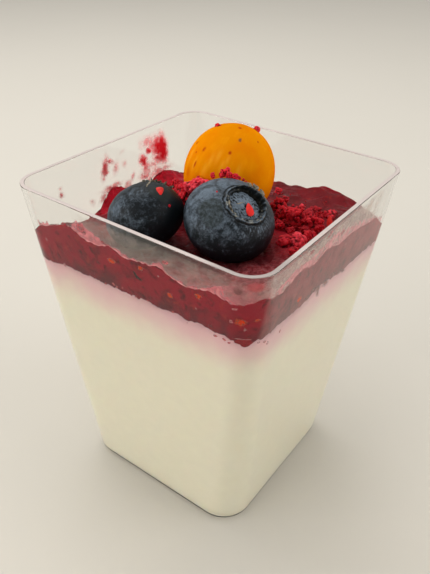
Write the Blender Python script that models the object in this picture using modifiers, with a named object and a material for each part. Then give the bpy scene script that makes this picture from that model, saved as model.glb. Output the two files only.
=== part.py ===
"""Panna cotta in a square clear cup, topped with red fruit coulis and three berries.

Metres, +Z up. The origin is the centre of the cup's base. The cup's front corner,
where the fillings stand highest, lies towards +X and -Y.
"""

import math

import bmesh
import bpy
from mathutils import Matrix, Vector

MM = 0.001

# Clear cup: a tapering square with rounded corners
CUP_HEIGHT = 70.7 * MM
RIM_HALF = 27.5 * MM
RIM_CORNER = 4.95 * MM
FOOT_HALF = 21.0 * MM
FOOT_CORNER = 6.65 * MM
FOOT_FILLET = 1.8 * MM
WALL = 0.85 * MM
FLOOR = 1.2 * MM

# Clearance between pieces that touch, and a wider one where slopes or facets narrow it
GAP = 0.3 * MM
SLOPE_GAP = 0.36 * MM

# Panna cotta: its set surface leans, rising towards the front corner
CREAM_LEVEL = 55.7 * MM
CREAM_RISE_X = 0.042
CREAM_RISE_Y = -0.05
CREAM_WAVE = 0.25 * MM

# Swells and dips of the panna cotta at the walls: x, y, rise, reach, all in millimetres
CREAM_SWELLS = (
    (24.2, -25.2, -1.2, 3.2),
    (26.5, -3.0, 0.9, 4.5),
    (-22.0, -26.0, -0.7, 3.5),
)

# Coulis: it leans the same way, and rides up the two front walls
COULIS_LEVEL = 61.1 * MM
COULIS_RISE_X = 0.095
COULIS_RISE_Y = -0.068
FRONT_EDGE_LEVEL = 65.1 * MM
FRONT_EDGE_REACH = 3.6 * MM
LEFT_FRONT_FADE = 9.0 * MM
RIGHT_FRONT_FADE = 31.0 * MM
EDGE_RIPPLE = 0.5 * MM
RIPPLE_LENGTH = 10.5 * MM
RIPPLE_START = 2.3 * MM

# Swells and dips of the coulis along the back walls: x, y, rise, reach, all in millimetres
COULIS_SWELLS = (
    (-27.0, -12.0, -2.6, 7.0),
    (-26.0, -1.5, 2.2, 2.8),
    (-26.0, 15.0, 1.8, 4.0),
    (-26.0, 27.0, -2.2, 6.0),
    (27.0, 27.0, -4.8, 6.5),
    (11.0, 26.0, 1.4, 4.5),
)

# Front blueberry: lies on its side, crown towards the front corner
FRONT_BERRY_CENTRE = Vector((10.76, -11.28, 68.8)) * MM
FRONT_BERRY_RADIUS = 8.3 * MM
FRONT_BERRY_FLATNESS = 0.787
FRONT_CROWN_ELEVATION = math.radians(50.6)
FRONT_CROWN_HEADING = math.radians(-10.3)
FRONT_SAG = 0.89

# Left blueberry: crown turned away to the back, pressed a little out of round
LEFT_BERRY_CENTRE = Vector((-2.35, -18.2, 68.2)) * MM
LEFT_BERRY_RADIUS = 7.32 * MM
LEFT_BERRY_FLATNESS = 0.847
LEFT_CROWN_ELEVATION = math.radians(39.4)
LEFT_CROWN_HEADING = math.radians(116.1)
LEFT_SAG = 0.836
LEFT_SAG_ELEVATION = math.radians(36.8)
LEFT_SAG_HEADING = math.radians(184.4)

# Crown of a blueberry, as shares of its radius
CROWN_RING = 0.49
CROWN_LIP = 0.42
CROWN_PIT = 0.35
CROWN_LIP_HEIGHT = 0.055
CROWN_PIT_DEPTH = 0.12

# Physalis: a smooth, slightly long berry
PHYSALIS_CENTRE = Vector((0.36, 3.6, 69.65)) * MM
PHYSALIS_RADIUS = 8.9 * MM
PHYSALIS_LENGTH = 1.08
PHYSALIS_ELEVATION = math.radians(65.3)
PHYSALIS_HEADING = math.radians(71.0)

# Facets
SIDE_STEPS = 12
CORNER_STEPS = 8
RING_STEPS = 4 * (SIDE_STEPS + CORNER_STEPS)
FILLET_STEPS = 3
COULIS_RINGS = 12
CREAM_RINGS = 4
TURN_STEPS = 36
BODY_STEPS = 14
BALL_SEGMENTS = 32
BALL_RINGS = 20
SOFT_ANGLE = math.radians(35)

COLLECTION = "panna_cotta_cup"
CUTTERS = "cutters"


def clear_scene():
    """Remove every object of the open scene."""
    for item in list(bpy.data.objects):
        bpy.data.objects.remove(item, do_unlink=True)


def new_collection(name):
    """Make a collection under the scene."""
    collection = bpy.data.collections.new(name)
    bpy.context.scene.collection.children.link(collection)
    return collection


def new_material(name, colour, roughness, transmission=0.0, ior=1.45):
    """Make a Principled material; colour is linear red, green and blue."""
    material = bpy.data.materials.new(name)
    material.use_nodes = True
    shader = material.node_tree.nodes["Principled BSDF"]
    shader.inputs["Base Color"].default_value = (*colour, 1.0)
    shader.inputs["Roughness"].default_value = roughness
    shader.inputs["Metallic"].default_value = 0.0
    shader.inputs["Transmission Weight"].default_value = transmission
    shader.inputs["IOR"].default_value = ior
    return material


def new_object(name, mesh, collection, material=None):
    """Make an object with smooth faces in a collection."""
    mesh.shade_smooth()
    mesh.set_sharp_from_angle(angle=SOFT_ANGLE)
    item = bpy.data.objects.new(name, mesh)
    collection.objects.link(item)
    if material:
        mesh.materials.append(material)
    return item


def direction(elevation, heading):
    """Unit vector at an elevation above the level and a heading from +X."""
    level = math.cos(elevation)
    return Vector((level * math.cos(heading), level * math.sin(heading), math.sin(elevation)))


def smooth_step(low, high, value):
    """Rise from 0 at low to 1 at high with soft ends."""
    share = min(max((value - low) / (high - low), 0.0), 1.0)
    return share * share * (3.0 - 2.0 * share)


# Walls and fillings


def wall_point(step, height, inset):
    """Point of the rounded square that the cup's outside has at a height, moved in by inset."""
    share = height / CUP_HEIGHT
    half = FOOT_HALF + (RIM_HALF - FOOT_HALF) * share - inset
    corner = FOOT_CORNER + (RIM_CORNER - FOOT_CORNER) * share - inset
    straight = half - corner
    quarter, local = divmod(step, SIDE_STEPS + CORNER_STEPS)
    if local < SIDE_STEPS:
        spot = Vector((half, straight * (2 * local / SIDE_STEPS - 1), height))
    else:
        angle = math.pi / 2 * (local - SIDE_STEPS) / CORNER_STEPS
        spot = Vector((straight + corner * math.cos(angle), straight + corner * math.sin(angle), height))
    return Matrix.Rotation(quarter * math.pi / 2, 3, "Z") @ spot


def wall_ring(height, inset):
    """Closed ring of wall points at one height."""
    return [wall_point(step, height, inset) for step in range(RING_STEPS)]


def lofted_mesh(name, start, rings, end):
    """Closed mesh from a start pole, out through equal rings of points, to an end pole."""
    shape = bmesh.new()
    first = shape.verts.new(start)
    rows = [[shape.verts.new(point) for point in ring] for ring in rings]
    last = shape.verts.new(end)
    for step in range(RING_STEPS):
        after = (step + 1) % RING_STEPS
        shape.faces.new((first, rows[0][after], rows[0][step]))
        for row, following in zip(rows, rows[1:]):
            shape.faces.new((row[step], row[after], following[after], following[step]))
        shape.faces.new((rows[-1][step], rows[-1][after], last))
    mesh = bpy.data.meshes.new(name)
    shape.to_mesh(mesh)
    shape.free()
    return mesh


def cup_mesh():
    """Outside from the foot up, across the rim, and down the inside to the floor."""
    rings = []
    for step in range(FILLET_STEPS + 1):
        angle = math.pi / 2 * step / FILLET_STEPS
        height = FOOT_FILLET * (1 - math.cos(angle))
        rings.append(wall_ring(height, FOOT_FILLET * (1 - math.sin(angle))))
    rings.append(wall_ring(CUP_HEIGHT, 0.0))
    rings.append(wall_ring(CUP_HEIGHT, WALL))
    rings.append(wall_ring(FLOOR, WALL))
    return lofted_mesh("cup", Vector((0, 0, 0)), rings, Vector((0, 0, FLOOR)))


def swell(x, y, centre_x, centre_y, rise, reach):
    """Height that one swell adds at a point."""
    away = math.hypot(x - centre_x * MM, y - centre_y * MM)
    return rise * MM * math.exp(-((away / (reach * MM)) ** 2))


def cream_floor(x, y):
    """Height of the panna cotta's underside."""
    return FLOOR + GAP


def cream_top(x, y):
    """Height of the panna cotta's leaning upper surface."""
    wave = CREAM_WAVE * math.sin(x / RIPPLE_LENGTH + 1.0) * math.cos(y / RIPPLE_LENGTH)
    level = CREAM_LEVEL + CREAM_RISE_X * x + CREAM_RISE_Y * y + wave
    return level + sum(swell(x, y, *values) for values in CREAM_SWELLS)


def coulis_floor(x, y):
    """Height of the coulis's underside."""
    return cream_top(x, y) + SLOPE_GAP


def front_climb(x, y):
    """Share of the way up to the front edge's level, 1 on the front walls and 0 far from them."""
    inside = RIM_HALF - WALL
    left_front = math.exp(-max(inside + y, 0.0) / FRONT_EDGE_REACH)
    left_front *= smooth_step(0.0, LEFT_FRONT_FADE, inside + x)
    right_front = math.exp(-max(inside - x, 0.0) / FRONT_EDGE_REACH)
    right_front *= smooth_step(0.0, RIGHT_FRONT_FADE, inside - y)
    return 1 - (1 - left_front) * (1 - right_front)


def coulis_top(x, y):
    """Height of the coulis's uneven upper surface."""
    level = COULIS_LEVEL + COULIS_RISE_X * x + COULIS_RISE_Y * y
    level += sum(swell(x, y, *values) for values in COULIS_SWELLS)
    ripple = EDGE_RIPPLE * math.cos(2 * math.pi * (x + y + RIM_HALF + RIPPLE_START) / RIPPLE_LENGTH)
    return level + (FRONT_EDGE_LEVEL + ripple - level) * front_climb(x, y)


def edge_point(step, surface, inset):
    """Point where a surface meets the wall; the walls are steep, so a few steps settle it."""
    height = CUP_HEIGHT
    for _ in range(4):
        spot = wall_point(step, height, inset)
        height = surface(spot.x, spot.y)
    return wall_point(step, height, inset)


def surface_ring(edge, surface, share):
    """Ring of a surface at a share of the way from its middle to its edge."""
    return [Vector((p.x * share, p.y * share, surface(p.x * share, p.y * share))) for p in edge]


def surface_rings(surface, count):
    """Rings of a surface from near its middle out to the wall, clear of it by the gap."""
    edge = [edge_point(step, surface, WALL + GAP) for step in range(RING_STEPS)]
    return [surface_ring(edge, surface, (number + 1) / count) for number in range(count)]


def filling_mesh(name, floor, floor_rings, top, top_rings):
    """Solid that fills the cup between two surfaces."""
    rings = surface_rings(floor, floor_rings) + surface_rings(top, top_rings)[::-1]
    return lofted_mesh(name, Vector((0, 0, floor(0, 0))), rings, Vector((0, 0, top(0, 0))))


# Berries


def sag_empty(name, centre, sag, axis, collection):
    """Empty whose own Z, pressed to a share of its length, presses what hangs from it."""
    empty = bpy.data.objects.new(name, None)
    empty.location = centre
    empty.rotation_euler = axis.to_track_quat("Z", "Y").to_euler()
    empty.scale = (1.0, 1.0, sag)
    collection.objects.link(empty)
    return empty


def hang_turned(item, empty, axis):
    """Parent a piece to an empty with its own Z along an axis of the world."""
    item.parent = empty
    upright = empty.rotation_euler.to_matrix().inverted()
    item.rotation_euler = (upright @ axis.to_track_quat("Z", "Y").to_matrix()).to_euler()


def blueberry_mesh(name, radius, flatness):
    """Half outline from the crown's pit, over its lip and down the outer side to the pole."""
    def skin(reach):
        return flatness * radius * math.sqrt(1 - reach * reach)

    outline = [
        (0.0, skin(0.0) - CROWN_PIT_DEPTH * radius),
        (CROWN_PIT * 0.6 * radius, skin(0.0) - CROWN_PIT_DEPTH * radius),
        (CROWN_PIT * radius, skin(CROWN_PIT) - CROWN_PIT_DEPTH * 0.7 * radius),
        (CROWN_LIP * radius, skin(CROWN_LIP) + CROWN_LIP_HEIGHT * radius),
        (CROWN_RING * radius, skin(CROWN_RING)),
    ]
    ring_angle = math.acos(CROWN_RING)
    for step in range(1, BODY_STEPS + 1):
        angle = ring_angle - (ring_angle + math.pi / 2) * step / BODY_STEPS
        reach = math.cos(angle) if step < BODY_STEPS else 0.0
        outline.append((reach * radius, flatness * radius * math.sin(angle)))
    mesh = bpy.data.meshes.new(name)
    edges = [(step, step + 1) for step in range(len(outline) - 1)]
    mesh.from_pydata([(x, 0.0, z) for x, z in outline], edges, [])
    return mesh


def turn_outline(item):
    """Sweep a half outline once around its own Z."""
    screw = item.modifiers.new("turn", "SCREW")
    screw.axis = "Z"
    screw.angle = 2 * math.pi
    screw.steps = TURN_STEPS
    screw.render_steps = TURN_STEPS
    screw.use_merge_vertices = True
    screw.merge_threshold = 0.00001
    screw.use_smooth_shade = True


def ball_mesh(name, radius, length):
    """Round ball, stretched along its own Z by length."""
    shape = bmesh.new()
    size = Matrix.Diagonal((radius, radius, radius * length, 1.0))
    bmesh.ops.create_uvsphere(
        shape, u_segments=BALL_SEGMENTS, v_segments=BALL_RINGS, radius=1.0, matrix=size
    )
    mesh = bpy.data.meshes.new(name)
    shape.to_mesh(mesh)
    shape.free()
    return mesh


def add_pocket(coulis, name, empty, axis, radius, length, cutters):
    """Press a berry's seat into the coulis, with the gap all round."""
    mesh = ball_mesh(name, radius + SLOPE_GAP / empty.scale.z, length)
    cutter = new_object(name, mesh, cutters)
    hang_turned(cutter, empty, axis)
    cutter.hide_render = True
    cutter.display_type = "WIRE"
    cut = coulis.modifiers.new(name, "BOOLEAN")
    cut.operation = "DIFFERENCE"
    cut.solver = "EXACT"
    cut.object = cutter


def add_blueberry(name, empty, axis, radius, flatness, parts, material):
    """Blueberry with its crown along an axis."""
    berry = new_object(name, blueberry_mesh(name, radius, flatness), parts, material)
    turn_outline(berry)
    hang_turned(berry, empty, axis)


def add_physalis(name, empty, axis, parts, material):
    """Physalis with its length along an axis."""
    berry = new_object(name, ball_mesh(name, PHYSALIS_RADIUS, PHYSALIS_LENGTH), parts, material)
    hang_turned(berry, empty, axis)


def build():
    """Build the cup, its two layers and the berries on top."""
    clear_scene()
    parts = new_collection(COLLECTION)
    cutters = new_collection(CUTTERS)

    plastic = new_material("clear_plastic", (0.93, 0.93, 0.92), 0.06, transmission=1.0, ior=1.49)
    cream = new_material("cream", (0.64, 0.58, 0.42), 0.35)
    red = new_material("coulis_red", (0.16, 0.02, 0.025), 0.3)
    blue = new_material("blueberry_skin", (0.045, 0.055, 0.07), 0.6)
    orange = new_material("physalis_skin", (0.7, 0.21, 0.01), 0.3)

    new_object("cup", cup_mesh(), parts, plastic)
    cream_mesh = filling_mesh("panna_cotta", cream_floor, 1, cream_top, CREAM_RINGS)
    new_object("panna_cotta", cream_mesh, parts, cream)
    coulis_mesh = filling_mesh("coulis", coulis_floor, CREAM_RINGS, coulis_top, COULIS_RINGS)
    coulis = new_object("coulis", coulis_mesh, parts, red)

    front_axis = direction(FRONT_CROWN_ELEVATION, FRONT_CROWN_HEADING)
    front = sag_empty("front_seat", FRONT_BERRY_CENTRE, FRONT_SAG, Vector((0, 0, 1)), parts)
    add_blueberry(
        "blueberry_front", front, front_axis, FRONT_BERRY_RADIUS, FRONT_BERRY_FLATNESS, parts, blue
    )
    add_pocket(
        coulis, "front_pocket", front, front_axis, FRONT_BERRY_RADIUS, FRONT_BERRY_FLATNESS, cutters
    )

    left_axis = direction(LEFT_CROWN_ELEVATION, LEFT_CROWN_HEADING)
    left_press = direction(LEFT_SAG_ELEVATION, LEFT_SAG_HEADING)
    left = sag_empty("left_seat", LEFT_BERRY_CENTRE, LEFT_SAG, left_press, parts)
    add_blueberry("blueberry_left", left, left_axis, LEFT_BERRY_RADIUS, LEFT_BERRY_FLATNESS, parts, blue)
    add_pocket(coulis, "left_pocket", left, left_axis, LEFT_BERRY_RADIUS, LEFT_BERRY_FLATNESS, cutters)

    back_axis = direction(PHYSALIS_ELEVATION, PHYSALIS_HEADING)
    back = sag_empty("back_seat", PHYSALIS_CENTRE, 1.0, back_axis, parts)
    add_physalis("physalis", back, back_axis, parts, orange)
    add_pocket(coulis, "back_pocket", back, back_axis, PHYSALIS_RADIUS, PHYSALIS_LENGTH, cutters)


build()
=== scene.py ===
"""Dress a panna cotta in its clear cup, with coulis, berries and raspberry crumbs on top.

The file is laid out as a Blender add-on and is run as a script. Lengths are metres, +Z is up,
and the origin is the centre of the cup's base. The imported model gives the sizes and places.
"""

import math

import bmesh
import bpy
import numpy as np
from bpy.props import FloatProperty, FloatVectorProperty, IntProperty, PointerProperty
from mathutils import Matrix, Vector


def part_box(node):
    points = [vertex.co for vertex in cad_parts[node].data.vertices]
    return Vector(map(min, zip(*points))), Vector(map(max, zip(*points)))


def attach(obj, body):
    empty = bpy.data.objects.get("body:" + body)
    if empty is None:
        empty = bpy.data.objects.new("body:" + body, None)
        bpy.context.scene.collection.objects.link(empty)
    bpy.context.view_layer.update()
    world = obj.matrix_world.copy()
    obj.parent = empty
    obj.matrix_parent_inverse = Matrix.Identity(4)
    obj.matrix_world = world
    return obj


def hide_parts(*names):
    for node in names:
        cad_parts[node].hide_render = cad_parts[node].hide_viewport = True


bl_info = {
    "name": "Panna Cotta Cup",
    "version": (1, 0, 0),
    "blender": (4, 5, 0),
    "location": "3D Viewport > Sidebar > Panna Cotta",
    "description": "Dresses a panna cotta with its cup, coulis, berries and crumbs",
    "category": "Add Mesh",
}

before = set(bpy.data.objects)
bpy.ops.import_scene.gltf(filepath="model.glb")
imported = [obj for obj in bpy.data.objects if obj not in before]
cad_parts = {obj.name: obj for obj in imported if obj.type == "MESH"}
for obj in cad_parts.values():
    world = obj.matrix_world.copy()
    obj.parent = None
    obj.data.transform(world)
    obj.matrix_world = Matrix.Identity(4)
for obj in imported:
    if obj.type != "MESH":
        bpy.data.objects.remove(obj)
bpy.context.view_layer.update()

MM = 0.001
TURN = 2 * math.pi
UP = Vector((0, 0, 1))

# Cup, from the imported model's box
CUP_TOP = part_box("cup")[1]
RIM_HALF = CUP_TOP.x
CUP_HEIGHT = CUP_TOP.z

# Rounding between the cup's floor and the inside of its wall
INNER_FILLET = 1.0 * MM

# How far a filling reaches into the plastic, so that no air shows between them
REACH = 0.06 * MM

# Steps along each side and round each corner of the cup's rounded square
SIDE_STEPS = 110
CORNER_STEPS = 20

# Rings of the two layers: down their sides, across their open surfaces and across the coulis's underside
CREAM_SIDE_RINGS = 30
CREAM_TOP_RINGS = 20
COULIS_SIDE_RINGS = 24
COULIS_TOP_RINGS = 110
COULIS_UNDER_RINGS = 16

# Passes that settle where a surface meets the wall
EDGE_PASSES = 5

# Swells and dips of the two layers: x, y, rise, reach, in millimetres
CREAM_SWELLS = (
    (24.2, -25.2, -1.2, 3.2),
    (23.6, -26.5, -0.5, 1.3),
    (26.5, -3.0, 0.9, 4.5),
    (-22.0, -26.0, -0.7, 3.5),
)
COULIS_SWELLS = (
    (-27.0, -12.0, -2.6, 7.0),
    (-26.0, -1.5, 2.2, 2.8),
    (-25.5, -4.4, 1.5, 2.0),
    (-26.0, 14.0, 1.9, 3.6),
    (-26.0, 27.0, -2.2, 6.0),
    (27.0, 27.0, -4.8, 6.5),
    (11.0, 26.0, 1.4, 4.5),
)
# The same along the coulis's edge on the walls
EDGE_SWELLS = (
    (-13.0, -27.0, 1.0, 4.0),
    (27.0, -11.0, 0.7, 7.0),
    (15.0, -27.0, -0.9, 4.5),
    (27.0, 18.0, -1.0, 4.0),
)
# Where raspberry powder lies on the coulis: x, y, strength, reach, in millimetres
DUSTED = (
    (-17.0, 9.0, 1.2, 6.0),
    (-23.0, 14.0, 1.4, 5.0),
    (-12.0, 16.0, 0.6, 5.0),
    (-24.5, -4.5, 2.6, 4.5),
    (16.0, 4.0, 0.8, 5.0),
    (9.0, 26.0, 0.45, 4.0),
    (18.0, 26.0, 0.25, 4.0),
    (21.0, -5.0, 0.5, 3.5),
)


# Seeds of the scattered pieces
SCRAP_SEED = 81
CRUMB_SEED = 101
SLIVER_SEED = 131
BIT_SEED = 161

# Least cover that a smear and the film keep
LEAST_SMEAR = 0.02
LEAST_FILM = 0.04


# Settings


class CupSettings(bpy.types.PropertyGroup):
    """Sizes and finish of the clear cup."""

    foot_half: FloatProperty(
        name="Foot half width",
        description="Half the width of the cup at its foot",
        default=0.021,
        unit="LENGTH",
    )
    foot_corner: FloatProperty(
        name="Foot corner", description="Corner radius at the foot", default=0.00665, unit="LENGTH"
    )
    rim_corner: FloatProperty(
        name="Rim corner", description="Corner radius at the rim", default=0.00495, unit="LENGTH"
    )
    foot_fillet: FloatProperty(
        name="Foot fillet",
        description="Rounding between the wall and the underside",
        default=0.0018,
        unit="LENGTH",
    )
    wall: FloatProperty(name="Wall", description="Thickness of the wall", default=0.00085, unit="LENGTH")
    floor: FloatProperty(name="Floor", description="Thickness of the floor", default=0.0012, unit="LENGTH")
    rim_round: FloatProperty(
        name="Rim rounding",
        description="Radius that the rim's two edges are rounded to",
        default=0.0001,
        unit="LENGTH",
    )
    tint: FloatVectorProperty(
        name="Tint",
        description="Colour of the clear plastic",
        default=(0.985, 0.985, 0.98),
        subtype="COLOR",
    )
    roughness: FloatProperty(
        name="Roughness",
        description="How soft the plastic's reflections are",
        default=0.03,
        subtype="FACTOR",
    )
    lip_height: FloatProperty(
        name="Lip height",
        description="Height of the soft bead along the rim",
        default=0.00022,
        unit="LENGTH",
    )
    # Painted highlight: the bead's whitish colour stands in for the light that the clear rim's edge gathers.
    lip_colour: FloatVectorProperty(
        name="Lip colour",
        description="Milky colour of the bead along the rim",
        default=(0.6, 0.52, 0.49),
        subtype="COLOR",
    )


class CreamSettings(bpy.types.PropertyGroup):
    """Surface and colours of the panna cotta."""

    level: FloatProperty(
        name="Level", description="Height of its surface at the middle", default=0.05538, unit="LENGTH"
    )
    rise_x: FloatProperty(name="Rise along X", description="Slope of its surface along X", default=0.042)
    rise_y: FloatProperty(name="Rise along Y", description="Slope of its surface along Y", default=-0.05)
    ivory: FloatVectorProperty(
        name="Ivory", description="Colour of the cream", default=(0.92, 0.87, 0.69), subtype="COLOR"
    )
    blush: FloatVectorProperty(
        name="Blush",
        description="Colour of the cream just under the coulis",
        default=(0.82, 0.5, 0.515),
        subtype="COLOR",
    )
    blush_depth: FloatProperty(
        name="Blush depth", description="How far the coulis tints the cream", default=0.01, unit="LENGTH"
    )


class CoulisSettings(bpy.types.PropertyGroup):
    """Surface and colours of the fruit coulis."""

    level: FloatProperty(
        name="Level", description="Height of its surface at the middle", default=0.0611, unit="LENGTH"
    )
    rise_x: FloatProperty(name="Rise along X", description="Slope of its surface along X", default=0.095)
    rise_y: FloatProperty(name="Rise along Y", description="Slope of its surface along Y", default=-0.068)
    edge_level: FloatProperty(
        name="Edge level",
        description="Height that it rides up the front walls to",
        default=0.0651,
        unit="LENGTH",
    )
    edge_reach: FloatProperty(
        name="Edge reach",
        description="How far from the wall it starts to climb",
        default=0.0036,
        unit="LENGTH",
    )
    red: FloatVectorProperty(
        name="Red", description="Colour of the open surface", default=(0.15, 0.012, 0.016), subtype="COLOR"
    )
    face_red: FloatVectorProperty(
        name="Face red",
        description="Colour against the cup's wall",
        default=(0.3, 0.002, 0.016),
        subtype="COLOR",
    )
    dark: FloatVectorProperty(
        name="Dark",
        description="Colour of its seedy patches",
        default=(0.06, 0.014, 0.014),
        subtype="COLOR",
    )
    dusted: FloatVectorProperty(
        name="Dusted",
        description="Colour where raspberry powder lies on it",
        default=(0.42, 0.008, 0.02),
        subtype="COLOR",
    )


class BerrySettings(bpy.types.PropertyGroup):
    """Colours of the berries."""

    skin: FloatVectorProperty(
        name="Blueberry skin",
        description="Skin under the bloom",
        default=(0.006, 0.008, 0.01),
        subtype="COLOR",
    )
    bloom: FloatVectorProperty(
        name="Bloom",
        description="Dull wax on the blueberries",
        default=(0.115, 0.146, 0.182),
        subtype="COLOR",
    )
    orange: FloatVectorProperty(
        name="Physalis", description="Skin of the physalis", default=(0.6, 0.19, 0.001), subtype="COLOR"
    )


class CrumbSettings(bpy.types.PropertyGroup):
    """Freeze-dried raspberry."""

    crimson: FloatVectorProperty(
        name="Crimson",
        description="Colour of the raspberry crumbs",
        default=(0.68, 0.011, 0.025),
        subtype="COLOR",
    )
    scarlet: FloatVectorProperty(
        name="Scarlet",
        description="Colour of the smooth slivers",
        default=(0.6, 0.016, 0.012),
        subtype="COLOR",
    )
    dust_count: IntProperty(name="Dust", description="Number of the finest crumbs", default=170, min=0)


class StageSettings(bpy.types.PropertyGroup):
    """Camera, floor and light."""

    azimuth: FloatProperty(
        name="Azimuth", description="Turn of the camera around the cup", default=0.6119, subtype="ANGLE"
    )
    elevation: FloatProperty(
        name="Elevation", description="Camera's height angle", default=0.5976, subtype="ANGLE"
    )
    roll: FloatProperty(name="Roll", description="Camera's tilt", default=0.0313, subtype="ANGLE")
    distance: FloatProperty(
        name="Distance", description="Camera to the point that it aims at", default=0.11855, unit="LENGTH"
    )
    aim_right: FloatProperty(
        name="Aim right",
        description="Aim's offset to the right of the rim's middle",
        default=-0.00046,
        unit="LENGTH",
    )
    aim_up: FloatProperty(
        name="Aim up", description="Aim's offset above the rim's middle", default=-0.02191, unit="LENGTH"
    )
    lens: FloatProperty(name="Lens", description="Focal length in millimetres", default=38.67)
    floor_colour: FloatVectorProperty(
        name="Floor", description="Colour of the floor", default=(0.59, 0.56, 0.5), subtype="COLOR"
    )


# Numbers


def smooth_step(low, high, value):
    """Rise from 0 at low to 1 at high with soft ends."""
    share = np.clip((value - low) / (high - low), 0.0, 1.0)
    return share * share * (3.0 - 2.0 * share)


def waves(points, length, seed, count=9):
    """Smooth random field, about -1 to 1, whose features are about a length across."""
    random = np.random.default_rng(seed)
    points = np.asarray(points, float)
    total = np.zeros(points.shape[:-1])
    for _ in range(count):
        heading = random.normal(size=points.shape[-1])
        heading *= random.uniform(0.7, 1.4) / np.linalg.norm(heading)
        total += np.cos(TURN * points @ heading / length + random.uniform(0, TURN))
    return total / math.sqrt(count / 2) / 1.6


def direction(elevation, heading):
    """Unit vector at an elevation above the level and a heading from +X, both in degrees."""
    elevation, heading = math.radians(elevation), math.radians(heading)
    level = math.cos(elevation)
    return Vector((level * math.cos(heading), level * math.sin(heading), math.sin(elevation)))


def unit_rows(points):
    """Rows scaled to length 1."""
    return points / np.linalg.norm(points, axis=-1, keepdims=True)


def bell(value, centre, width):
    """1 where a value meets a centre, falling to 0 over a width on both sides of it."""
    return np.exp(-(((value - centre) / width) ** 2))


def band(value, rise, fall):
    """1 between a rise and a fall, each given by its two ends, and 0 outside them."""
    return smooth_step(*rise, value) * (1 - smooth_step(*fall, value))


def toward(azimuth, heading, focus):
    """1 at a heading, fading round from it, faster with more focus."""
    return np.exp(focus * (np.cos(azimuth - heading) - 1))


def turned_by(x, y, angle):
    """Flat place turned about the origin."""
    return x * np.cos(angle) - y * np.sin(angle), x * np.sin(angle) + y * np.cos(angle)


def round_points(reach, azimuth, height):
    """Points at a reach from the upright axis, an azimuth round it and a height."""
    return np.stack([reach * np.cos(azimuth), reach * np.sin(azimuth), height], axis=-1)


def shaded(colour, share):
    """A share of a colour's light."""
    return tuple(share * part for part in colour)


# Meshes


def new_piece(name, mesh, material, slot, *stands_for):
    """Object of the dessert that rides on its one body."""
    piece = bpy.data.objects.new(name, mesh)
    bpy.context.scene.collection.objects.link(piece)
    mesh.materials.append(material)
    mesh.shade_smooth()
    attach(piece, "root")
    if stands_for:
        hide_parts(*stands_for)
    return piece


def mesh_of(name, points, faces):
    """Mesh from an array of points and a list of faces."""
    mesh = bpy.data.meshes.new(name)
    mesh.from_pydata([tuple(point) for point in points], [], faces)
    mesh.update()
    return mesh


def lofted_mesh(name, start, rings, end):
    """Closed mesh from a start pole, out through equal rings of points, to an end pole."""
    rings = np.asarray(rings, float)
    rows, steps, _ = rings.shape
    points = np.vstack([[start], rings.reshape(-1, 3), [end]])
    here = np.arange(steps)
    after = (here + 1) % steps
    last = len(points) - 1
    faces = [(0, int(a) + 1, int(h) + 1) for h, a in zip(here, after)]
    for row in range(rows - 1):
        low, high = 1 + row * steps, 1 + (row + 1) * steps
        faces += [(low + h, low + a, high + a, high + h) for h, a in zip(here.tolist(), after.tolist())]
    top = 1 + (rows - 1) * steps
    faces += [(top + h, top + a, last) for h, a in zip(here.tolist(), after.tolist())]
    return mesh_of(name, points, faces)


def hoop_mesh(name, rings):
    """Closed mesh of rings whose last one joins the first, as in a rim."""
    rings = np.asarray(rings, float)
    rows, steps, _ = rings.shape
    faces = []
    for row in range(rows):
        low, high = row * steps, (row + 1) % rows * steps
        faces += [(low + h, low + (h + 1) % steps, high + (h + 1) % steps, high + h) for h in range(steps)]
    return mesh_of(name, rings.reshape(-1, 3), faces)


def paint(mesh, name, values):
    """Store one number for each point of a mesh, for its material to read."""
    layer = mesh.attributes.new(name, "FLOAT", "POINT")
    layer.data.foreach_set("value", np.asarray(values, np.float32))


def paint_rings(mesh, **fields):
    """Paint the rings of a lofted mesh, and 0 on its two poles."""
    for name, field in fields.items():
        paint(mesh, name, np.concatenate([[0.0], field.ravel(), [0.0]]))


def joined_mesh(name, shapes):
    """One mesh from several (points, faces) shapes."""
    points, faces, start = [], [], 0
    for shape_points, shape_faces in shapes:
        points.append(shape_points)
        faces += [tuple(corner + start for corner in face) for face in shape_faces]
        start += len(shape_points)
    return mesh_of(name, np.vstack(points), faces)


def ball_shape(subdivisions):
    """Points and faces of a unit ball of even triangles."""
    shape = bmesh.new()
    bmesh.ops.create_icosphere(shape, subdivisions=subdivisions, radius=1.0)
    points = np.array([vert.co[:] for vert in shape.verts])
    faces = [tuple(vert.index for vert in face.verts) for face in shape.faces]
    shape.free()
    return points, faces


# Node materials


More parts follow.
